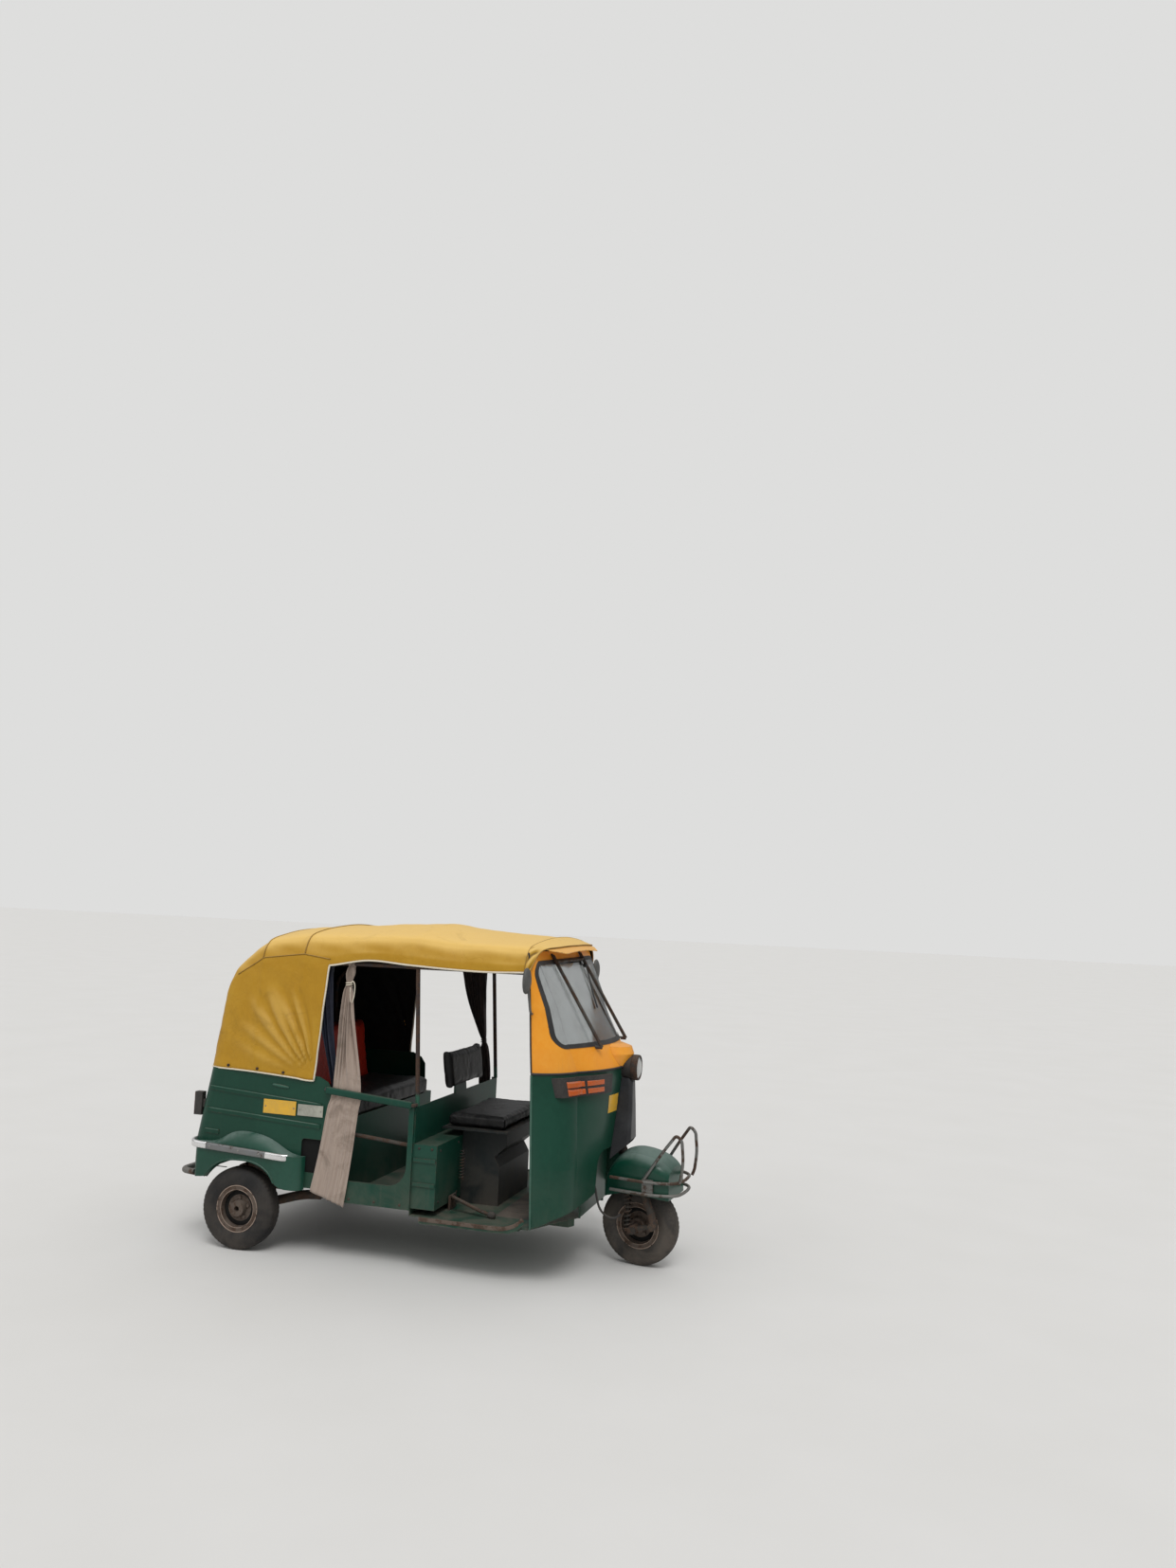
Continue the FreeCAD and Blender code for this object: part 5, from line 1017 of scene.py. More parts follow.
# rail that the loops hang on: distance from the middle, height at its rear end, rise and run to the front
curtainRail = {"y": 0.552, "z": 1.490, "rear": -0.56, "rise": 0.008, "run": 1.116, "loop": 0.0138,
               "cord": 0.0026}
curtains = {
    # per row: x, y, z of the middle, half width, depth of the folds
    "beigeCurtain": {"node": "curtain_beige", "finish": "beigeCloth", "slot": "beige_cloth", "folds": 4.5,
                     "loops": 5, "tie": (1.388, "whitePiping"),
                     "flat": (0.34, 1.24), "skew": -0.030, "rests": ["hoop_frame", "guard_rails"],
                     "rows": [(-0.400, -0.556, 1.4785, 0.014, 0.009), (-0.403, -0.562, 1.440, 0.020, 0.010),
                              (-0.404, -0.570, 1.388, 0.012, 0.007), (-0.400, -0.577, 1.340, 0.026, 0.013),
                              (-0.392, -0.586, 1.200, 0.048, 0.015), (-0.377, -0.592, 1.020, 0.066, 0.011),
                              (-0.368, -0.5985, 0.905, 0.075, 0.0032),
                             (-0.366, -0.6004, 0.860, 0.078, 0.0012),
                              (-0.371, -0.6005, 0.800, 0.084, 0.0012),
                             (-0.380, -0.6055, 0.752, 0.086, 0.0018),
                              (-0.396, -0.6080, 0.600, 0.090, 0.0022),
                             (-0.416, -0.6085, 0.450, 0.094, 0.0022),
                              (-0.440, -0.6070, 0.306, 0.098, 0.0026)]},
    "navyRoll": {"node": "curtain_dark", "finish": "navyVinyl", "slot": "navy_vinyl", "folds": 2.6,
                 "loops": 9, "tie": None,
                 "flat": (0.26, 0.66), "skew": 0.0, "rests": ["hoop_frame", "rear_tub"],
                 "rows": [(-0.560, -0.553, 1.4750, 0.052, 0.012), (-0.562, -0.555, 1.420, 0.050, 0.014),
                          (-0.545, -0.557, 1.300, 0.046, 0.015), (-0.512, -0.558, 1.120, 0.034, 0.014),
                          (-0.476, -0.560, 0.950, 0.020, 0.010), (-0.453, -0.560, 0.846, 0.012, 0.006)]},
    "brownCurtain": {"node": "curtain_brown", "finish": "brownCloth", "slot": "brown_cloth", "folds": 5.5,
                     "loops": 9, "tie": (1.012, "brownCloth"),
                     "flat": (0.40, 0.86), "skew": 0.015, "rests": ["hoop_frame"],
                     "rows": [(-0.150, 0.553, 1.4805, 0.092, 0.010), (-0.142, 0.552, 1.400, 0.080, 0.013),
                              (-0.112, 0.549, 1.220, 0.050, 0.015), (-0.076, 0.546, 1.070, 0.024, 0.011),
                              (-0.062, 0.545, 1.012, 0.012, 0.007), (-0.058, 0.545, 0.960, 0.024, 0.012),
                              (-0.048, 0.545, 0.820, 0.030, 0.013), (-0.042, 0.545, 0.700, 0.026, 0.010)]},
}
# loose end of the beige curtain's tie
tieLoop = [(-0.386, -0.586, 1.392), (-0.372, -0.594, 1.405), (-0.360, -0.594, 1.385), (-0.362, -0.592, 1.330),
           (-0.373, -0.590, 1.296), (-0.384, -0.589, 1.310), (-0.388, -0.588, 1.372)]


def makeCurtain(name):
    # rows of folds: the fold wave slides a little along x on its way down and deepens towards the edges
    p = curtains[name]
    steps, across = 150, 90
    rows = through(p["rows"], steps)
    s = np.linspace(-1, 1, across)[None]
    x, y, z, half, depth = (rows[:, k:k + 1] for k in range(5))
    fall = rows[0, 2] - z
    phase = p["folds"] * math.pi * (s + 0.22 * np.sin(3.1 * s + 4 * fall)) + 1.1 * np.sin(2.3 * fall)
    wave = np.sin(phase) + 0.35 * np.sin(2.3 * phase + 2 * fall)
    small = 0.0005 * np.sin(31 * s + 17 * fall) * np.sin(40 * z + 9 * s)
    edge = 0.004 * np.sin(9 * fall + 2 * s) * ease(0, 0.2, fall) * np.minimum(1, depth / 0.01)
    height = z + p["skew"] * s * ease(0.5, 1, fall / fall[-1])
    grid = np.stack([x + half * s + edge, y + depth * wave + small, height], -1)
    uv = np.stack(np.meshgrid(np.linspace(0, p["flat"][0], across), travel(grid[:, across // 2])), -1)
    cloth = piece(name, "body", p["finish"], grid, sheetFaces(steps, across), uv)
    area = thickened(cloth, 0.0012)
    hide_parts(p["node"])
    parts = []
    wrap = grid[0].mean(0)
    rail = curtainRail
    a = np.linspace(0, 2 * math.pi, 40)
    ring = np.stack([np.zeros(40), np.cos(a) * rail["loop"], np.sin(a) * rail["loop"]], -1)
    railY = math.copysign(rail["y"], wrap[1])
    railZ = rail["z"] + rail["rise"] * (wrap[0] - rail["rear"]) / rail["run"]
    for k in range(p["loops"]):
        offset = p["rows"][0][3] * (2 * k / (p["loops"] - 1) - 1)
        centre = np.array([wrap[0] + offset, railY, railZ])
        sway = np.array([0.002, 0, 0]) * np.sin(a + k)[:, None]
        parts.append(tubeParts(centre + ring + sway, circle(rail["cord"], 6), up=(1, 0, 0)))
    shape, faces = gathered(parts)
    loops = piece(name + "Loops", "body", p["finish"], shape, faces, np.zeros((len(shape), 2)), closed=True)
    if p["tie"]:
        tieHeight, tieFinish = p["tie"]
        knot = int(np.argmin(np.abs(z[:, 0] - tieHeight)))
        middle, wide = grid[knot].mean(0), half[knot, 0] + 0.004
        turns = np.linspace(0, 4.5 * math.pi, 70)
        band = np.stack([wide * np.cos(turns), (depth[knot, 0] + 0.006) * np.sin(turns),
                         0.0055 * turns / math.pi - 0.012], -1)
        shape, faces = tubeParts(middle + band, circle(0.0028, 8))
        piece(name + "Tie", "body", tieFinish, shape, faces, np.zeros((len(shape), 2)),
                           closed=True)
    if name == "beigeCurtain":
        shape, faces = tubeParts(through(tieLoop, 60), circle(0.0027, 8), up=(0, 1, 0))
        piece("beigeTieLoop", "body", "whitePiping", shape, faces, closed=True)
    print(name, "area", round(area, 3), "of", round(p["flat"][0] * p["flat"][1], 3))


for label in curtains:
    makeCurtain(label)


# cushions

cushions = {
    # side outline (x, z) in order, half width, corner radius, voxel, swelling cap, dents (x, y, width, depth)
    "passengerCushion": {"node": "passenger_seat", "finish": "blackVinyl", "slot": "black_vinyl",
                         "side": [(-0.792, 0.694), (-0.380, 0.694), (-0.380, 0.778), (-0.792, 0.772)],
                         "half": 0.511,
                         "bevel": 0.018, "voxel": 0.008, "cap": 0.016, "fill": 0.5,
                         "dents": [(-0.56, -0.26, 0.16, 0.014), (-0.56, 0.26, 0.16, 0.014)]},
    "passengerBack": {"node": "passenger_backrest", "finish": "redVinyl", "slot": "red_vinyl",
                      "side": [(-0.928, 0.718), (-0.778, 0.718), (-0.838, 1.102), (-0.948, 1.102)],
                      "half": 0.522,
                      "bevel": 0.020, "voxel": 0.008, "cap": 0.014, "fill": 0.6,
                      "dents": []},
    "driverCushion": {"node": "driver_seat", "finish": "blackVinyl", "slot": "black_vinyl",
                      "side": [(0.068, 0.677), (0.398, 0.677), (0.398, 0.724), (0.068, 0.724)], "half": 0.302,
                      "bevel": 0.014, "voxel": 0.006, "cap": 0.012, "fill": 0.45,
                      "dents": [(0.24, 0.0, 0.13, 0.010)]},
    "driverBack": {"node": "driver_backrest", "finish": "blackVinyl", "slot": "black_vinyl",
                   "side": [(0.026, 0.845), (0.062, 0.845), (0.034, 1.038), (-0.003, 1.038)], "half": 0.243,
                   "bevel": 0.014, "voxel": 0.006, "cap": 0.010, "fill": 0.6,
                   "dents": []},
}


def swollen(base, voxel, cap):
    # remeshed form blown up a little as cloth, each point's way capped
    remesh = base.modifiers.new("remesh", "REMESH")
    remesh.mode = "VOXEL"
    remesh.voxel_size = voxel
    mesh = bpy.data.meshes.new_from_object(base.evaluated_get(bpy.context.evaluated_depsgraph_get()))
    form = bpy.data.objects.new("form", mesh)
    scene.collection.objects.link(form)
    start = np.array([v.co for v in mesh.vertices])
    cloth = form.modifiers.new("cloth", "CLOTH")
    cloth.settings.use_pressure = True
    cloth.settings.uniform_pressure_force = 4
    cloth.settings.effector_weights.gravity = 0
    for step in range(1, 21):
        scene.frame_set(step)
    after = form.evaluated_get(bpy.context.evaluated_depsgraph_get()).to_mesh()
    moved = np.array([v.co for v in after.vertices])
    scene.frame_set(1)
    shift = moved - start
    far = np.linalg.norm(shift, axis=1, keepdims=True)
    moved = start + shift * np.minimum(1, cap / np.maximum(far, 1e-9))
    faces = [tuple(f.vertices) for f in mesh.polygons]
    bpy.data.objects.remove(form)
    bpy.data.objects.remove(base)
    return moved, faces


def makeCushion(name):
    p = cushions[name]
    block = bpy.data.meshes.new("block")
    shell = bmesh.new()
    corners = [[shell.verts.new((x, side * p["half"], z)) for x, z in p["side"]] for side in (-1, 1)]
    shell.faces.new(corners[0])
    shell.faces.new(corners[1][::-1])
    for k in range(4):
        after = (k + 1) % 4
        shell.faces.new([corners[0][k], corners[1][k], corners[1][after], corners[0][after]][::-1])
    bmesh.ops.recalc_face_normals(shell, faces=shell.faces)
    bmesh.ops.bevel(shell, geom=shell.edges[:], offset=p["bevel"], segments=3, affect="EDGES", profile=0.6)
    shell.to_mesh(block)
    shell.free()
    base = bpy.data.objects.new("base", block)
    scene.collection.objects.link(base)
    points, faces = swollen(base, p["voxel"], p["cap"])
    x, y, z = points.T
    upper = ease(z.min() + 0.4 * (z.max() - z.min()), z.max(), z)
    for atX, atY, width, depth in p["dents"]:
        points[:, 2] -= depth * np.exp(-(((x - atX) / width) ** 2 + ((y - atY) / (1.4 * width)) ** 2)) * upper
    pucker = 0.0012 * np.sin(23 * x + 31 * y + 5 * np.sin(19 * y)) * np.sin(41 * z + 13 * y)
    crease = 0.0014 * np.sin(60 * y + 6 * np.sin(13 * x)) * np.sin(9 * x + 4 * y)
    lift = (pucker + crease)[:, None]
    middle = points.mean(0)
    points = points + lift * unit(points - middle)
    made = piece(name, "body", p["finish"], points, faces)
    soft = made.modifiers.new("soft", "SUBSURF")
    soft.levels = soft.render_levels = 1
    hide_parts(p["node"])
    print(name, len(points), "points")


for label in cushions:
    makeCushion(label)


# tyres

tyreShape = {
    # half profile: offset from the middle plane, radius
    "profile": [(0.0388, 0.1040), (0.0390, 0.1186), (0.0432, 0.1200), (0.0476, 0.1310), (0.0512, 0.1460),
                (0.0516, 0.1600), (0.0496, 0.1760), (0.0462, 0.1880), (0.0410, 0.1975), (0.0340, 0.2032),
                (0.0200, 0.2064), (0.0, 0.2070)],
    "around": 270, "across": 74, "lugs": 54, "groove": 0.0034,
    # zigzag grooves: place, swing, width, turns; raised rings: radii, height; inner edge: radius, half width
    "zigzag": (0.0125, 0.0026, 0.0019, 22), "rings": (0.1275, 0.1490, 0.1535, 0.1780), "ringHeight": 0.0007,
    "inner": (0.112, 0.030),
}
wheels = {
    "frontTyre": {"node": "front_tyre", "body": "front_wheel", "centre": (1.05884, 0.009548, 0.207874),
                  "axis": (0.174313, 0.981627, 0.077609), "finish": "tyreRubber", "rim": "frontRim",
                  "out": -1},
}
for word, side in (("Right", -1), ("Left", 1)):
    wheels["rearTyre" + word] = {
        "node": "rear_tyre_" + word.lower(), "body": "rear_wheel_" + word.lower(),
        "centre": (-0.942, side * 0.575, 0.207), "axis": (0, 1, 0), "finish": "rearRubber",
        "rim": word.lower() + "Rim", "out": side}


def makeTyre(name):
    # smooth profile turned round the axle: grooves and shoulder lugs are cut, rings are raised on the walls
    p, shape = wheels[name], tyreShape
    half = np.array(shape["profile"])
    whole = np.concatenate([half, half[-2::-1] * np.array([-1, 1])])
    fine = through(whole, 400)
    reach = travel(fine)
    weight = np.where(fine[:, 1] > 0.185, 2.4, 1.0)
    pace = np.concatenate([[0], np.cumsum(np.diff(reach) * (weight[1:] + weight[:-1]) / 2)])
    at = np.interp(np.linspace(0, pace[-1], shape["across"]), pace, reach)
    offset, radius = (np.interp(at, reach, fine[:, k])[:, None] for k in (0, 1))
    angle = np.linspace(0, 2 * math.pi, shape["around"], endpoint=False)[None]
    place, swing, width, turns = shape["zigzag"]
    tri = 2 / math.pi * np.arcsin(np.sin(turns * angle))
    tread = ease(0.192, 0.203, radius)
    zig = np.exp(-((np.abs(offset) - place - swing * tri) / width) ** 4)
    spin = (angle * shape["lugs"] / (2 * math.pi) + 0.25 * np.sign(offset)) % 1.0
    lug = ease(0.0, 0.10, spin) * (1 - ease(0.26, 0.36, spin)) * ease(0.024, 0.028, np.abs(offset))
    lug = lug * ease(0.190, 0.199, radius) * 0.7
    cut = shape["groove"] * np.maximum(zig * tread, lug)
    rings = sum(np.exp(-((radius - r) / 0.0011) ** 2) for r in shape["rings"]) * shape["ringHeight"]
    radial = radius - cut
    sideways = offset + np.sign(offset) * rings * (np.abs(offset) > 0.04)
    grid = np.stack([radial * np.cos(angle), radial * np.sin(angle), sideways + 0 * angle], -1)
    bore, out = shape["inner"]
    inner = np.stack([bore * np.cos(angle), bore * np.sin(angle), np.zeros_like(angle)], -1)
    grid = np.concatenate([inner + np.array([0, 0, out]), grid, inner - np.array([0, 0, out])])
    made = piece(name, p["body"], p["finish"], turned(grid.reshape(-1, 3), p["centre"], p["axis"]),
                 sheetFaces(len(grid), shape["around"], True), closed=True)
    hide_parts(p["node"])


for label in wheels:
    makeTyre(label)
print("soft pieces and tyres made")


# springs

springs = {
    "frontSpring": {"node": "front_spring", "body": "steering", "foot": (1.0125, -0.0905, 0.200),
                    "head": (1.0118, -0.0915, 0.424), "radius": 0.0175, "wire": 0.0042, "turns": 11,
                    "core": 0.0100},
}
for word, y in (("Right", -0.469), ("Left", 0.469)):
    springs["rearSpring" + word] = {"node": "rear_springs", "body": "body", "foot": (-0.850, y, 0.253),
                                    "head": (-0.850, y, 0.4697), "radius": 0.0250, "wire": 0.0052, "turns": 8,
                                    "core": 0.0130}


def makeSpring(name):
    # helix with closed ends round a damper; the front one is centred in its node's box
    p = springs[name]
    low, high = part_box(p["node"])
    foot, head = np.array(p["foot"]), np.array(p["head"])
    if name == "frontSpring":
        middle = (np.array(low) + np.array(high)) / 2
        lean = head - foot
        foot = np.array([middle[0] - lean[0] / 2, middle[1] - lean[1] / 2, low[2] + 0.002])
        head = np.array([middle[0] + lean[0] / 2, middle[1] + lean[1] / 2, high[2] - 0.002])
    along = head - foot
    tall = np.linalg.norm(along)
    t = np.linspace(0, 1, 420)
    climb = np.interp(t, [0, 0.08, 0.92, 1], [0, 0.035, 0.965, 1]) * (tall - 2 * p["wire"]) + p["wire"]
    a = t * p["turns"] * 2 * math.pi
    line = np.stack([p["radius"] * np.cos(a), p["radius"] * np.sin(a), climb], -1)
    cup, core, rod = p["radius"] + 0.003, p["core"], p["core"] * 0.6
    damper = [(0.0001, 0), (cup, 0), (cup, 0.004), (core, 0.006), (core, tall * 0.6), (rod, tall * 0.61),
              (rod, tall - 0.004), (cup, tall - 0.004), (cup, tall), (0.0001, tall)]
    shape, faces = gathered([tubeParts(line, circle(p["wire"], 8)), latheParts(damper, 20)])
    made = piece(name, p["body"], "forkSteel", turned(shape, foot, along / tall), faces, closed=True)
    if name != "rearSpringLeft":
        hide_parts(p["node"])


for label in springs:
    makeSpring(label)


# trim on the body

beltStrip = {
    # route of the bright strip along the fender, and its half section (out, up)
    "route": [(-1.238, -0.560, 0.524), (-1.234, -0.600, 0.524), (-1.208, -0.644, 0.523),
              (-1.150, -0.658, 0.520), (-0.900, -0.6590, 0.508), (-0.780, -0.6585, 0.502),
              (-0.690, -0.6560, 0.497), (-0.656, -0.6420, 0.495)],
    "section": [(-0.006, -0.0165), (0.003, -0.0170), (0.007, -0.0140), (0.0085, -0.0080), (0.0080, 0.0),
                (0.0085, 0.0080), (0.007, 0.0140), (0.003, 0.0170), (-0.006, 0.0165)],
    "bolts": [-1.10, -0.93, -0.81],
}


def makeBelts():
    # bright chrome where it wraps the ends, duller and darker chrome along the middle
    line = through(beltStrip["route"], 141)
    ends, middles, bolts = [], [], []
    for part, some in ((ends, line[:64]), (middles, line[63:102]), (ends, line[101:])):
        for run in (some, some[::-1] * flip):
            part.append(tubeParts(run, beltStrip["section"]))
    for x in beltStrip["bolts"]:
        for side in (-1, 1):
            bolts.append(((x, side * 0.6668, 0.508 - 0.046 * (x + 0.90)), (0, side, 0)))
    trim("beltEnds", "chromeTrim", ends)
    trim("beltMiddles", "wornChrome", middles)
    trim("beltBolts", "galvanized", [domes(bolts, 0.006, 0.003)])


ribEdges = [(-1.176, 0.806, -0.505, 0.762), (-1.176, 0.692, -0.505, 0.658), (-1.176, 0.583, -1.092, 0.580)]


def makeRibHighlightBeads():
    # bead along the upper edge of each pressed rib, in pale paint as a painted highlight
    beads = []
    for rear, rearHeight, front, frontHeight in ribEdges:
        t = np.linspace(0.02, 0.99, 60)
        z = rearHeight + (frontHeight - rearHeight) * t + 0.0085
        y = np.array([tubSide(height) for height in z]) + 0.0038
        for side in (-1, 1):
            bead = np.stack([rear + (front - rear) * t, side * y, z], -1)
            swell = np.minimum(1, np.minimum(t, 1 - t) * 14 + 0.25)
            beads.append(tubeParts(bead, circle(0.0034, 8), scale=swell))
    trim("ribEdges", "lipGreen", beads)


tubPlates = {
    # name: rear x, front x, low z, high z, finish, slot
    "sidePlate": (-0.836, -0.648, 0.702, 0.773, "plateYellow", "yellow_paint"),
    "sideReflector": (-0.637, -0.492, 0.706, 0.763, "reflectorFilm", "lens"),
}


def makeTubPlates():
    # blank plate and reflector on the right side, held by small screws, and the pressed slot above them in
    # pale paint as a painted highlight
    screws = []
    for name, (rear, front, low, high, chosen, slot) in tubPlates.items():
        stand = 0.0075
        corners = [(x, -tubSide(z) - stand, z) for x, z in rectangle(rear, front, low, high)]
        trim(name, chosen, [slab(corners, (0, -1, 0), 0.0016)], smooth=False)
        inner = rectangle(rear + 0.02, front - 0.02, low + 0.02, high - 0.02)
        backing = slab([(x, -tubSide(z) - 0.001, z) for x, z in inner], (0, -1, 0), stand - 0.001)
        trim(name + "Backing", "deepBlack", [backing], smooth=False)
        for x in (rear + 0.012, front - 0.012):
            screws.append(((x, -tubSide(0.74) - 0.009, (low + high) / 2), (0, -1, 0)))
    trim("plateScrews", "galvanized", [domes(screws, 0.0045, 0.002)])
    press = [(-0.795 + 0.094 * t, -tubSide(0.845) - 0.001, 0.8485 - 0.010 * t) for t in np.linspace(0, 1, 16)]
    swell = np.sin(np.linspace(0.16, math.pi - 0.16, 16)) ** 0.35
    trim("pressedSlot", "lipGreen", [tubeParts(press, circle(0.0075, 12), scale=swell)])


lampShape = {
    # heights and y ranges of the cells; how far the lens stands out, its pillow, flutes and their count
    "heights": ((0.906, 0.9375), (0.9425, 0.974)), "widths": ((-0.494, -0.384), (-0.376, -0.266)),
    "rows": 13, "cols": 41, "stand": 0.0262 - 0.004, "pillow": 0.0075, "flute": 0.0009, "flutes": 14,
    # headlamp: middle of its front, and the bezel's section (radius, height)
    "front": (1.018, 0, 1.004), "glass": 0.0575, "bulge": 0.0155,
    "bezel": [(0.0640, -0.030), (0.0662, -0.026), (0.0665, 0.0), (0.0652, 0.005), (0.0620, 0.0075),
              (0.0585, 0.006), (0.0570, 0.001), (0.0600, -0.004)],
    # tail lamps: finish, low and high
    "tails": {"tailRed": ("redLens", 0.654, 0.726), "tailAmber": ("amberLens", 0.730, 0.766)},
}


def lampCell(side, low, high, inner, outer):
    # one moulded cell on the turn lamp's face: a raised pillow with fine flutes, sunk at its rim
    p = lampShape
    rows, cols = p["rows"], p["cols"]
    v, u = np.meshgrid(np.linspace(0, 1, rows), np.linspace(0, 1, cols), indexing="ij")
    edge = np.minimum(np.minimum(u, 1 - u) * (outer - inner), np.minimum(v, 1 - v) * (high - low))
    flutes = p["flute"] * np.abs(np.sin(u * p["flutes"] * math.pi)) * ease(0.003, 0.007, edge)
    out = p["stand"] + p["pillow"] * ease(0, 0.006, edge) + flutes
    points = np.zeros((rows, cols, 3))
    for k, height in enumerate(np.linspace(low, high, rows)):
        flat = skinLine(height, 0.0, inner, outer, cols)
        ahead = unit(np.gradient(flat, axis=0))
        facing = np.stack([ahead[:, 1], -ahead[:, 0], np.zeros(cols)], -1)
        points[k] = flat + facing * out[k][:, None]
    if side > 0:
        points = points * flip
    return points.reshape(-1, 3), sheetFaces(rows, cols)


def makeLamps():
    p = lampShape
    cells = [lampCell(side, *heights, *widths)
             for side in (-1, 1) for heights in p["heights"] for widths in p["widths"]]
    trim("turnLenses", "amberLens", cells, closed=False)
    bezel = latheParts(p["bezel"] + p["bezel"][:1], 64)
    trim("headlampBezel", "forkSteel", [placed(bezel, p["front"], (1, 0, 0))])
    lens = latheParts([(r, p["bulge"] * (1 - (r / p["glass"]) ** 2) + 0.0006 * np.sin(r * 900))
                       for r in np.linspace(0.0002, p["glass"], 14)], 56)
    trim("headlampLens", "clearLens", [placed(lens, p["front"], (1, 0, 0))], closed=False)
    for name, (chosen, low, high) in p["tails"].items():
        made = []
        for side in (-1, 1):
            corners = [(-1.2715, y, z) for y, z in rectangle(side * 0.533, side * 0.563, low, high)]
            made.append(slab(corners, (-1, 0, 0), 0.003, bow=0.004))
        trim(name, chosen, made)


def skinEdge(low, high, count, outset=0.0):
    # door edge of the front skin between two heights
    z = np.linspace(low, high, count)
    x, y = (np.interp(z, frontRows[:, 0], frontRows[:, k]) for k in (1, 2))
    return np.stack([x + 0.002, -y - outset, z], -1)


def makeSkinTrim():
    # rolled lip along the door edges in pale paint as a painted highlight, rubber bead at the seam, yellow
    # blank sticker, wiper
    shieldLips, cowlLips = [], []
    for side in (1, -1):
        own = np.array([1, side, 1])
        shieldLips.append(tubeParts(skinEdge(0.275, 1.004, 60) * own, circle(0.0055, 10), up=(1, 0, 0)))
        cowlLips.append(tubeParts(skinEdge(1.014, 1.598, 50) * own, circle(0.0045, 10), up=(1, 0, 0)))
    trim("shieldLips", "lipGreen", shieldLips)
    trim("cowlLips", "blackRubber", cowlLips)
    plan = skinPlan(1.010, 0.0015, 40)
    bead = np.column_stack([plan, np.full(len(plan), 1.010)])
    trim("seamBead", "blackRubber", [tubeParts(bead, circle(0.0056, 10))])
    heights = np.linspace(0.786, 0.876, 8)
    sheet = np.array([skinLine(height, 0.0012, -0.182, -0.064, 16) for height in heights])
    sheet[:, :, 2] += 0.006 * (sheet[:, :, 1] + 0.12)
    trim("blankSticker", "plateYellow", [(sheet, sheetFaces(8, 16))], closed=False)
    arm = np.array([(0.6410, 0.232, 1.512), (0.6900, 0.155, 1.436), (0.7300, 0.088, 1.372),
                    (0.7790, 0.012, 1.303)])
    arm = through(arm, 40)
    blade = arm[14:] + np.array([-0.003, 0, -0.002])
    thin = np.linspace(1.0, 0.6, 40)
    hub = latheParts([(0.0001, 0.012), (0.010, 0.010), (0.012, 0.0), (0.010, -0.012)], 16)
    trim("wiper", "blackRubber", [tubeParts(arm, circle(0.0042, 8), scale=thin),
                                  tubeParts(blade, circle(0.0030, 6) * np.array([0.6, 2.0])),
                                  placed(hub, (0.6380, 0.232, 1.512), (0.9, 0, 0.35))])


makeBelts()
makeRibHighlightBeads()
makeTubPlates()
makeLamps()
makeSkinTrim()
print("body trim made")


# cab fittings

cab = {
    # black sheet in each side vent as painted shade in the opening: rear and front x, low and high z,
    # distance from the middle
    "vent": (-0.612, -0.474, 0.417, 0.599), "ventY": 0.584,
    # footboard edge: route of its steel lip, and the lip's section (out, up)
    "board": [(0.078, -0.6225, 0.2735), (0.300, -0.6228, 0.2735), (0.486, -0.6225, 0.2735),
              (0.548, -0.6215, 0.284), (0.592, -0.6195, 0.306), (0.615, -0.6120, 0.326)],
    "boardLip": [(-0.010, 0.002), (-0.010, 0.0045), (0.0022, 0.0045), (0.0034, 0.0030), (0.0034, -0.0130),
                 (0.0010, -0.0130), (0.0010, 0.0020)],
    "mat": {"rear": 0.402, "front": 0.640, "half": 0.42, "floor": 0.2732, "thick": 0.0030, "rib": 0.0016,
            "pitch": 0.020},
    "dial": {"place": (0.7845, 0, 1.0730), "facing": (-0.887, 0, -0.461),
             "ring": [(0.041, -0.003), (0.043, 0.004), (0.040, 0.008), (0.037, 0.005), (0.037, 0.002)],
             "face": [(0.0002, 0.003), (0.0375, 0.003)],
             "pointer": [(0.002, -0.0015, 0.0042), (0.030, -0.0008, 0.0042), (0.030, 0.0008, 0.0042),
                         (0.002, 0.0015, 0.0042)]},
    "pedal": {"x": 0.6398, "sides": (-0.148, -0.092), "low": 0.344, "pitch": 0.0092, "bar": 0.006, "bars": 6},
    "link": {"x": 0.178, "y": -0.330, "low": 0.410, "tall": 0.150, "coil": 0.011, "turns": 10,
             "rod": (0.274, 0.400, 0.655)},
    "knob": [(0.0002, 0.022), (0.012, 0.020), (0.018, 0.010), (0.0186, 0.0), (0.016, -0.012),
             (0.011, -0.018)],
    "knobPlace": (0.405, -0.474, 0.290),
    # both mirrors: the glass's half sizes and its place
    "glass": (0.057, 0.037, 1.0), "glassPlace": (0.5800, 0.640, 1.464),
}


def makeMat():
    # sheet on the footboard, square ribs along it, thinning out at its rim
    p = cab["mat"]
    across = np.linspace(-p["half"], p["half"], 253)
    x, y = np.meshgrid(np.linspace(p["rear"], p["front"], 12), across, indexing="ij")
    rim = np.minimum(np.minimum(x - p["rear"], p["front"] - x), np.minimum(y + p["half"], p["half"] - y))
    ribs = (np.sin(y * 2 * math.pi / p["pitch"]) > 0) * ease(0.006, 0.012, rim)
    lift = p["thick"] * ease(0, 0.004, rim) + p["rib"] * ribs
    mat = (np.stack([x, y, p["floor"] + lift], -1), sheetFaces(12, 253))
    trim("floorMat", "flapRubber", [mat], closed=False)


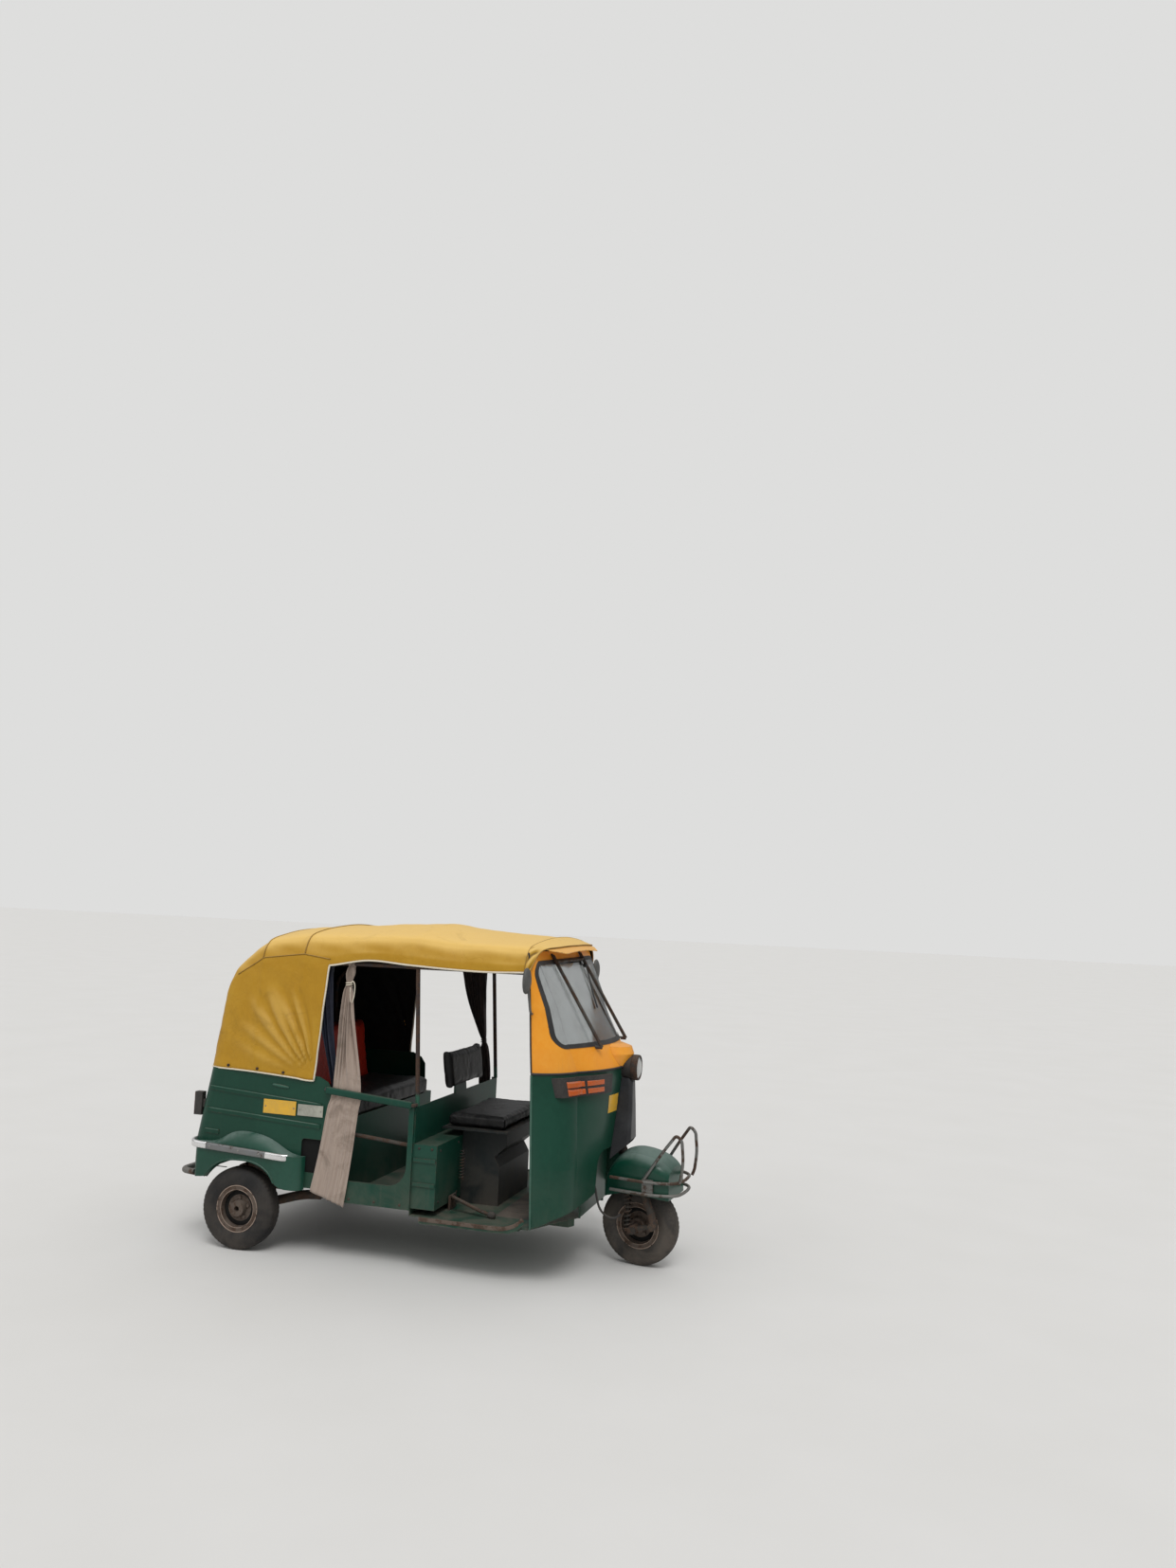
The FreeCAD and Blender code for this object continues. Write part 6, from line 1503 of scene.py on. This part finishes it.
def makeCab():
    # black sheets in the side vents as painted shade, footboard edges, ribbed mat, dial, pedal pad, hand
    # brake link
    backs = [slab([(x, side * cab["ventY"], z) for x, z in rectangle(*cab["vent"])], (0, side, 0), 0.002)
             for side in (-1, 1)]
    trim("ventShade", "deepBlack", backs, smooth=False)
    edge = through(cab["board"], 70)
    boards = [tubeParts(some, cab["boardLip"]) for some in (edge, edge[::-1] * flip)]
    trim("boardEdges", "boardSteel", boards, smooth=False)
    makeMat()
    dial = cab["dial"]
    ring, face = latheParts(dial["ring"], 40), latheParts(dial["face"], 40)
    pointer = slab(dial["pointer"], (0, 0, 1), 0.001)
    trim("dialRing", "guardSteel", [placed(ring, dial["place"], dial["facing"])])
    trim("dialFace", "deepBlack", [placed(face, dial["place"], dial["facing"])],
         closed=False)
    trim("dialPointer", "amberLens", [placed(pointer, dial["place"], dial["facing"])])
    pedal = cab["pedal"]
    near, far = pedal["sides"]
    bars = []
    for k in range(pedal["bars"]):
        low = pedal["low"] + pedal["pitch"] * k
        high = low + pedal["bar"]
        corners = [(pedal["x"], y, z) for y, z in rectangle(near, far, low, high)]
        bars.append(slab(corners, (-1, 0, 0), 0.004))
    trim("pedalPad", "flapRubber", bars, smooth=False)
    link = cab["link"]
    t = np.linspace(0, 1, 160)
    a = t * link["turns"] * 2 * math.pi
    coil = np.stack([link["x"] + link["coil"] * np.cos(a), link["y"] + link["coil"] * np.sin(a),
                     link["low"] + link["tall"] * t], -1)
    rod = through([(link["x"], link["y"], z) for z in link["rod"]], 12)
    links = [tubeParts(coil, circle(0.0026, 7)), tubeParts(rod, circle(0.0052, 10))]
    trim("brakeLink", "forkSteel", links)
    knob = placed(latheParts(cab["knob"], 20), cab["knobPlace"], (0.9, 0, -0.2))
    trim("leverKnob", "flapRubber", [knob])


def makeMirrors():
    # flat glasses in the backs of the two heads
    shape, faces = latheParts([(0.0002, 0.0016), (0.90, 0.0016), (1.0, 0.0)], 48)
    x, y, z = cab["glassPlace"]
    made = [placed((shape * np.array(cab["glass"]), faces), (x, side * y, z), (-1, 0, 0)) for side in (-1, 1)]
    trim("mirrorGlasses", "mirrorGlass", made, closed=False)


def makeBolts():
    # round heads where sheets, rails and stays are fastened
    groups = {
        "cabBolts": [((0.1425, y, z), (1, 0, 0)) for y in (-0.54, -0.30, 0.30, 0.54) for z in (0.34, 0.59)]
        + [((x, side * 0.5860, 0.600), (0, side, 0)) for x in (0.045, 0.115) for side in (-1, 1)]
        + [((-0.46 + 0.14 * k, side * 0.5985, 0.318), (0, side, 0)) for k in range(1, 4) for side in (-1, 1)],
        "rearBolts": [((tubRear(z) - 0.001, y, z), (-1, 0, 0))
                      for y in (-0.44, -0.38, 0.38, 0.44) for z in (0.42, 0.83)],
        "skinBolts": [((tubRear(0.4) - 0.001, y, 0.40), (-1, 0, 0)) for y in (-0.36, 0.36)],
    }
    for name, places in groups.items():
        trim(name, "forkSteel", [domes(places, 0.0065, 0.0035)])
    lock = latheParts([(0.0002, 0.016), (0.010, 0.015), (0.013, 0.006), (0.019, 0.004), (0.020, -0.006)], 24)
    trim("lidLock", "guardSteel", [placed(lock, (tubRear(0.470) - 0.0035, 0, 0.470), (-0.996, 0, 0.087))],
         "engine_lid")


steerAxis = {"foot": (1.20516, 0, 0), "rake": 24.0, "turn": -11.0}
handles = {
    # on the left side: grip's ends, lever's route, clamp's section and place
    "gripEnds": ((0.6715, 0.2235, 0.9996), (0.6563, 0.2840, 0.9990)), "ribs": 9, "pitch": 0.0064,
    "lever": [(0.690, 0.165, 1.003), (0.710, 0.181, 1.000), (0.712, 0.206, 0.997), (0.698, 0.236, 0.993),
              (0.694, 0.248, 0.996)],
    "clamp": [(0.0150, -0.009), (0.0165, -0.008), (0.0165, 0.008), (0.0150, 0.009), (0.0150, -0.009)],
    "clampPlace": (0.699, 0.176, 1.0003),
}


def steered(points):
    # turned with the fork about the steering axis, as parked
    rake = math.radians(steerAxis["rake"])
    turn = Matrix.Rotation(math.radians(steerAxis["turn"]), 3, Vector((-math.sin(rake), 0, math.cos(rake))))
    foot = np.array(steerAxis["foot"])
    return (np.asarray(points) - foot) @ np.array(turn).T + foot


def makeHandles():
    # ribbed grips, and levers with their clamps
    p = handles
    grip = [(0.0176, 0.0)]
    for k in range(p["ribs"]):
        up = p["pitch"] * k
        grip += [(0.0190, 0.004 + up), (0.0190, 0.007 + up), (0.0178, 0.0085 + up)]
    grip += [(0.0200, 0.0645), (0.0200, 0.0680), (0.0002, 0.0690)]
    grips, levers = [], []
    for side in (-1, 1):
        own = np.array([1, side, 1])
        low, high = (np.array(end) * own for end in p["gripEnds"])
        shape, faces = placed(latheParts(grip, 24), low, unit(high - low))
        grips.append((steered(shape), faces))
        path = through(np.array(p["lever"]) * own, 40)
        levers.append(tubeParts(steered(path), circle(0.0046, 8), scale=np.linspace(1.2, 0.8, 40)))
        way = unit(np.array((0.40, side * 0.9, 0)))
        shape, faces = placed(latheParts(p["clamp"], 20), np.array(p["clampPlace"]) * own, way)
        levers.append((steered(shape), faces))
    trim("gripSleeves", "blackRubber", grips, "steering")
    trim("handLevers", "guardSteel", levers, "steering")


def makeWheelTrim():
    # pale rings at the edges of each rim, and a black ring as painted shadow in the gap between its disc and
    # its well
    for p in wheels.values():
        centre, axis = np.array(p["centre"]), p["out"] * np.array(p["axis"])
        edges = []
        for radius, height, thick in ((0.1168, 0.0421, 0.0024), (0.0955, 0.0418, 0.0016)):
            ring = circle(thick, 10) + np.array([radius, height])
            edges.append(latheParts(np.concatenate([ring, ring[:1]]), 72))
        trim(p["rim"] + "Edge", "rimEdge", [placed(edge, centre, axis) for edge in edges],
             p["body"])
        shadowRingProfile = [(0.0670, 0.0131), (0.0680, 0.0140), (0.0880, 0.0140), (0.0892, 0.0131), (0.0670, 0.0131)]
        trim(p["rim"] + "Gap", "deepBlack", [placed(latheParts(shadowRingProfile, 60), centre, axis)],
             p["body"])


def makeRailSheath():
    # flat painted cover over the upper guard rail, rounded at its edges
    route = [(-0.474, -0.6115, 0.8482), (-0.300, -0.6120, 0.8345), (-0.120, -0.6120, 0.8203),
             (0.004, -0.6120, 0.8104)]
    a = circle(1.0, 20)
    section = np.sign(a) * np.abs(a) ** 0.6 * np.array([0.0108, 0.0175])
    trim("railSheath", "cabinGreen", [tubeParts(through(route, 40), section)])


makeWheelTrim()
makeRailSheath()
makeCab()
makeMirrors()
makeBolts()
makeHandles()
print("cab fittings made")


# floor, light, end

def makeStage():
    size = 60.0
    corners = [(x, y, 0) for x, y in rectangle(-size, size, -size, size)]
    floor = piece("studioFloor", None, [], corners, [(0, 1, 2, 3)], smooth=False)
    material, tree, shader = finish("studioFloor", roughness=0.9)
    tone = mixed(tree, noise(tree, objectSpace(tree), 1.5, 4), srgb(208, 207, 204), srgb(214, 213, 211))
    feed(tree, shader, {"Base Color": tone})
    floor.data.materials.append(material)
    world = bpy.data.worlds.new("studio")
    scene.world = world
    world.use_nodes = True
    tree = world.node_tree
    tree.nodes.clear()
    path = put(tree, "ShaderNodeLightPath").outputs
    seen = calc(tree, "MAXIMUM", path["Is Camera Ray"], path["Is Transmission Ray"])
    where = put(tree, "ShaderNodeTexCoord").outputs["Generated"]
    glow = ramp(tree, upright(tree, where), -0.05, 0.75, 0.10, 0.88, "LINEAR")
    sky = put(tree, "ShaderNodeBackground", {"Color": srgb(255, 255, 255), "Strength": glow}).outputs[0]
    backdrop = put(tree, "ShaderNodeBackground", {"Color": srgb(222, 222, 221), "Strength": 1.0}).outputs[0]
    blend = put(tree, "ShaderNodeMixShader", {0: seen, 1: sky, 2: backdrop})
    put(tree, "ShaderNodeOutputWorld", {0: blend.outputs[0]})
    for name, turn, power, angle in (("softSun", (34, 0, 24), 1.15, 24), ("fillSun", (62, 0, -48), 0.30, 60)):
        lamp = bpy.data.lights.new(name, "SUN")
        lamp.energy = power
        lamp.angle = math.radians(angle)
        holder = bpy.data.objects.new(name, lamp)
        holder.rotation_euler = [math.radians(v) for v in turn]
        scene.collection.objects.link(holder)


makeStage()
scene.view_settings.view_transform = "Standard"
print("stage set")
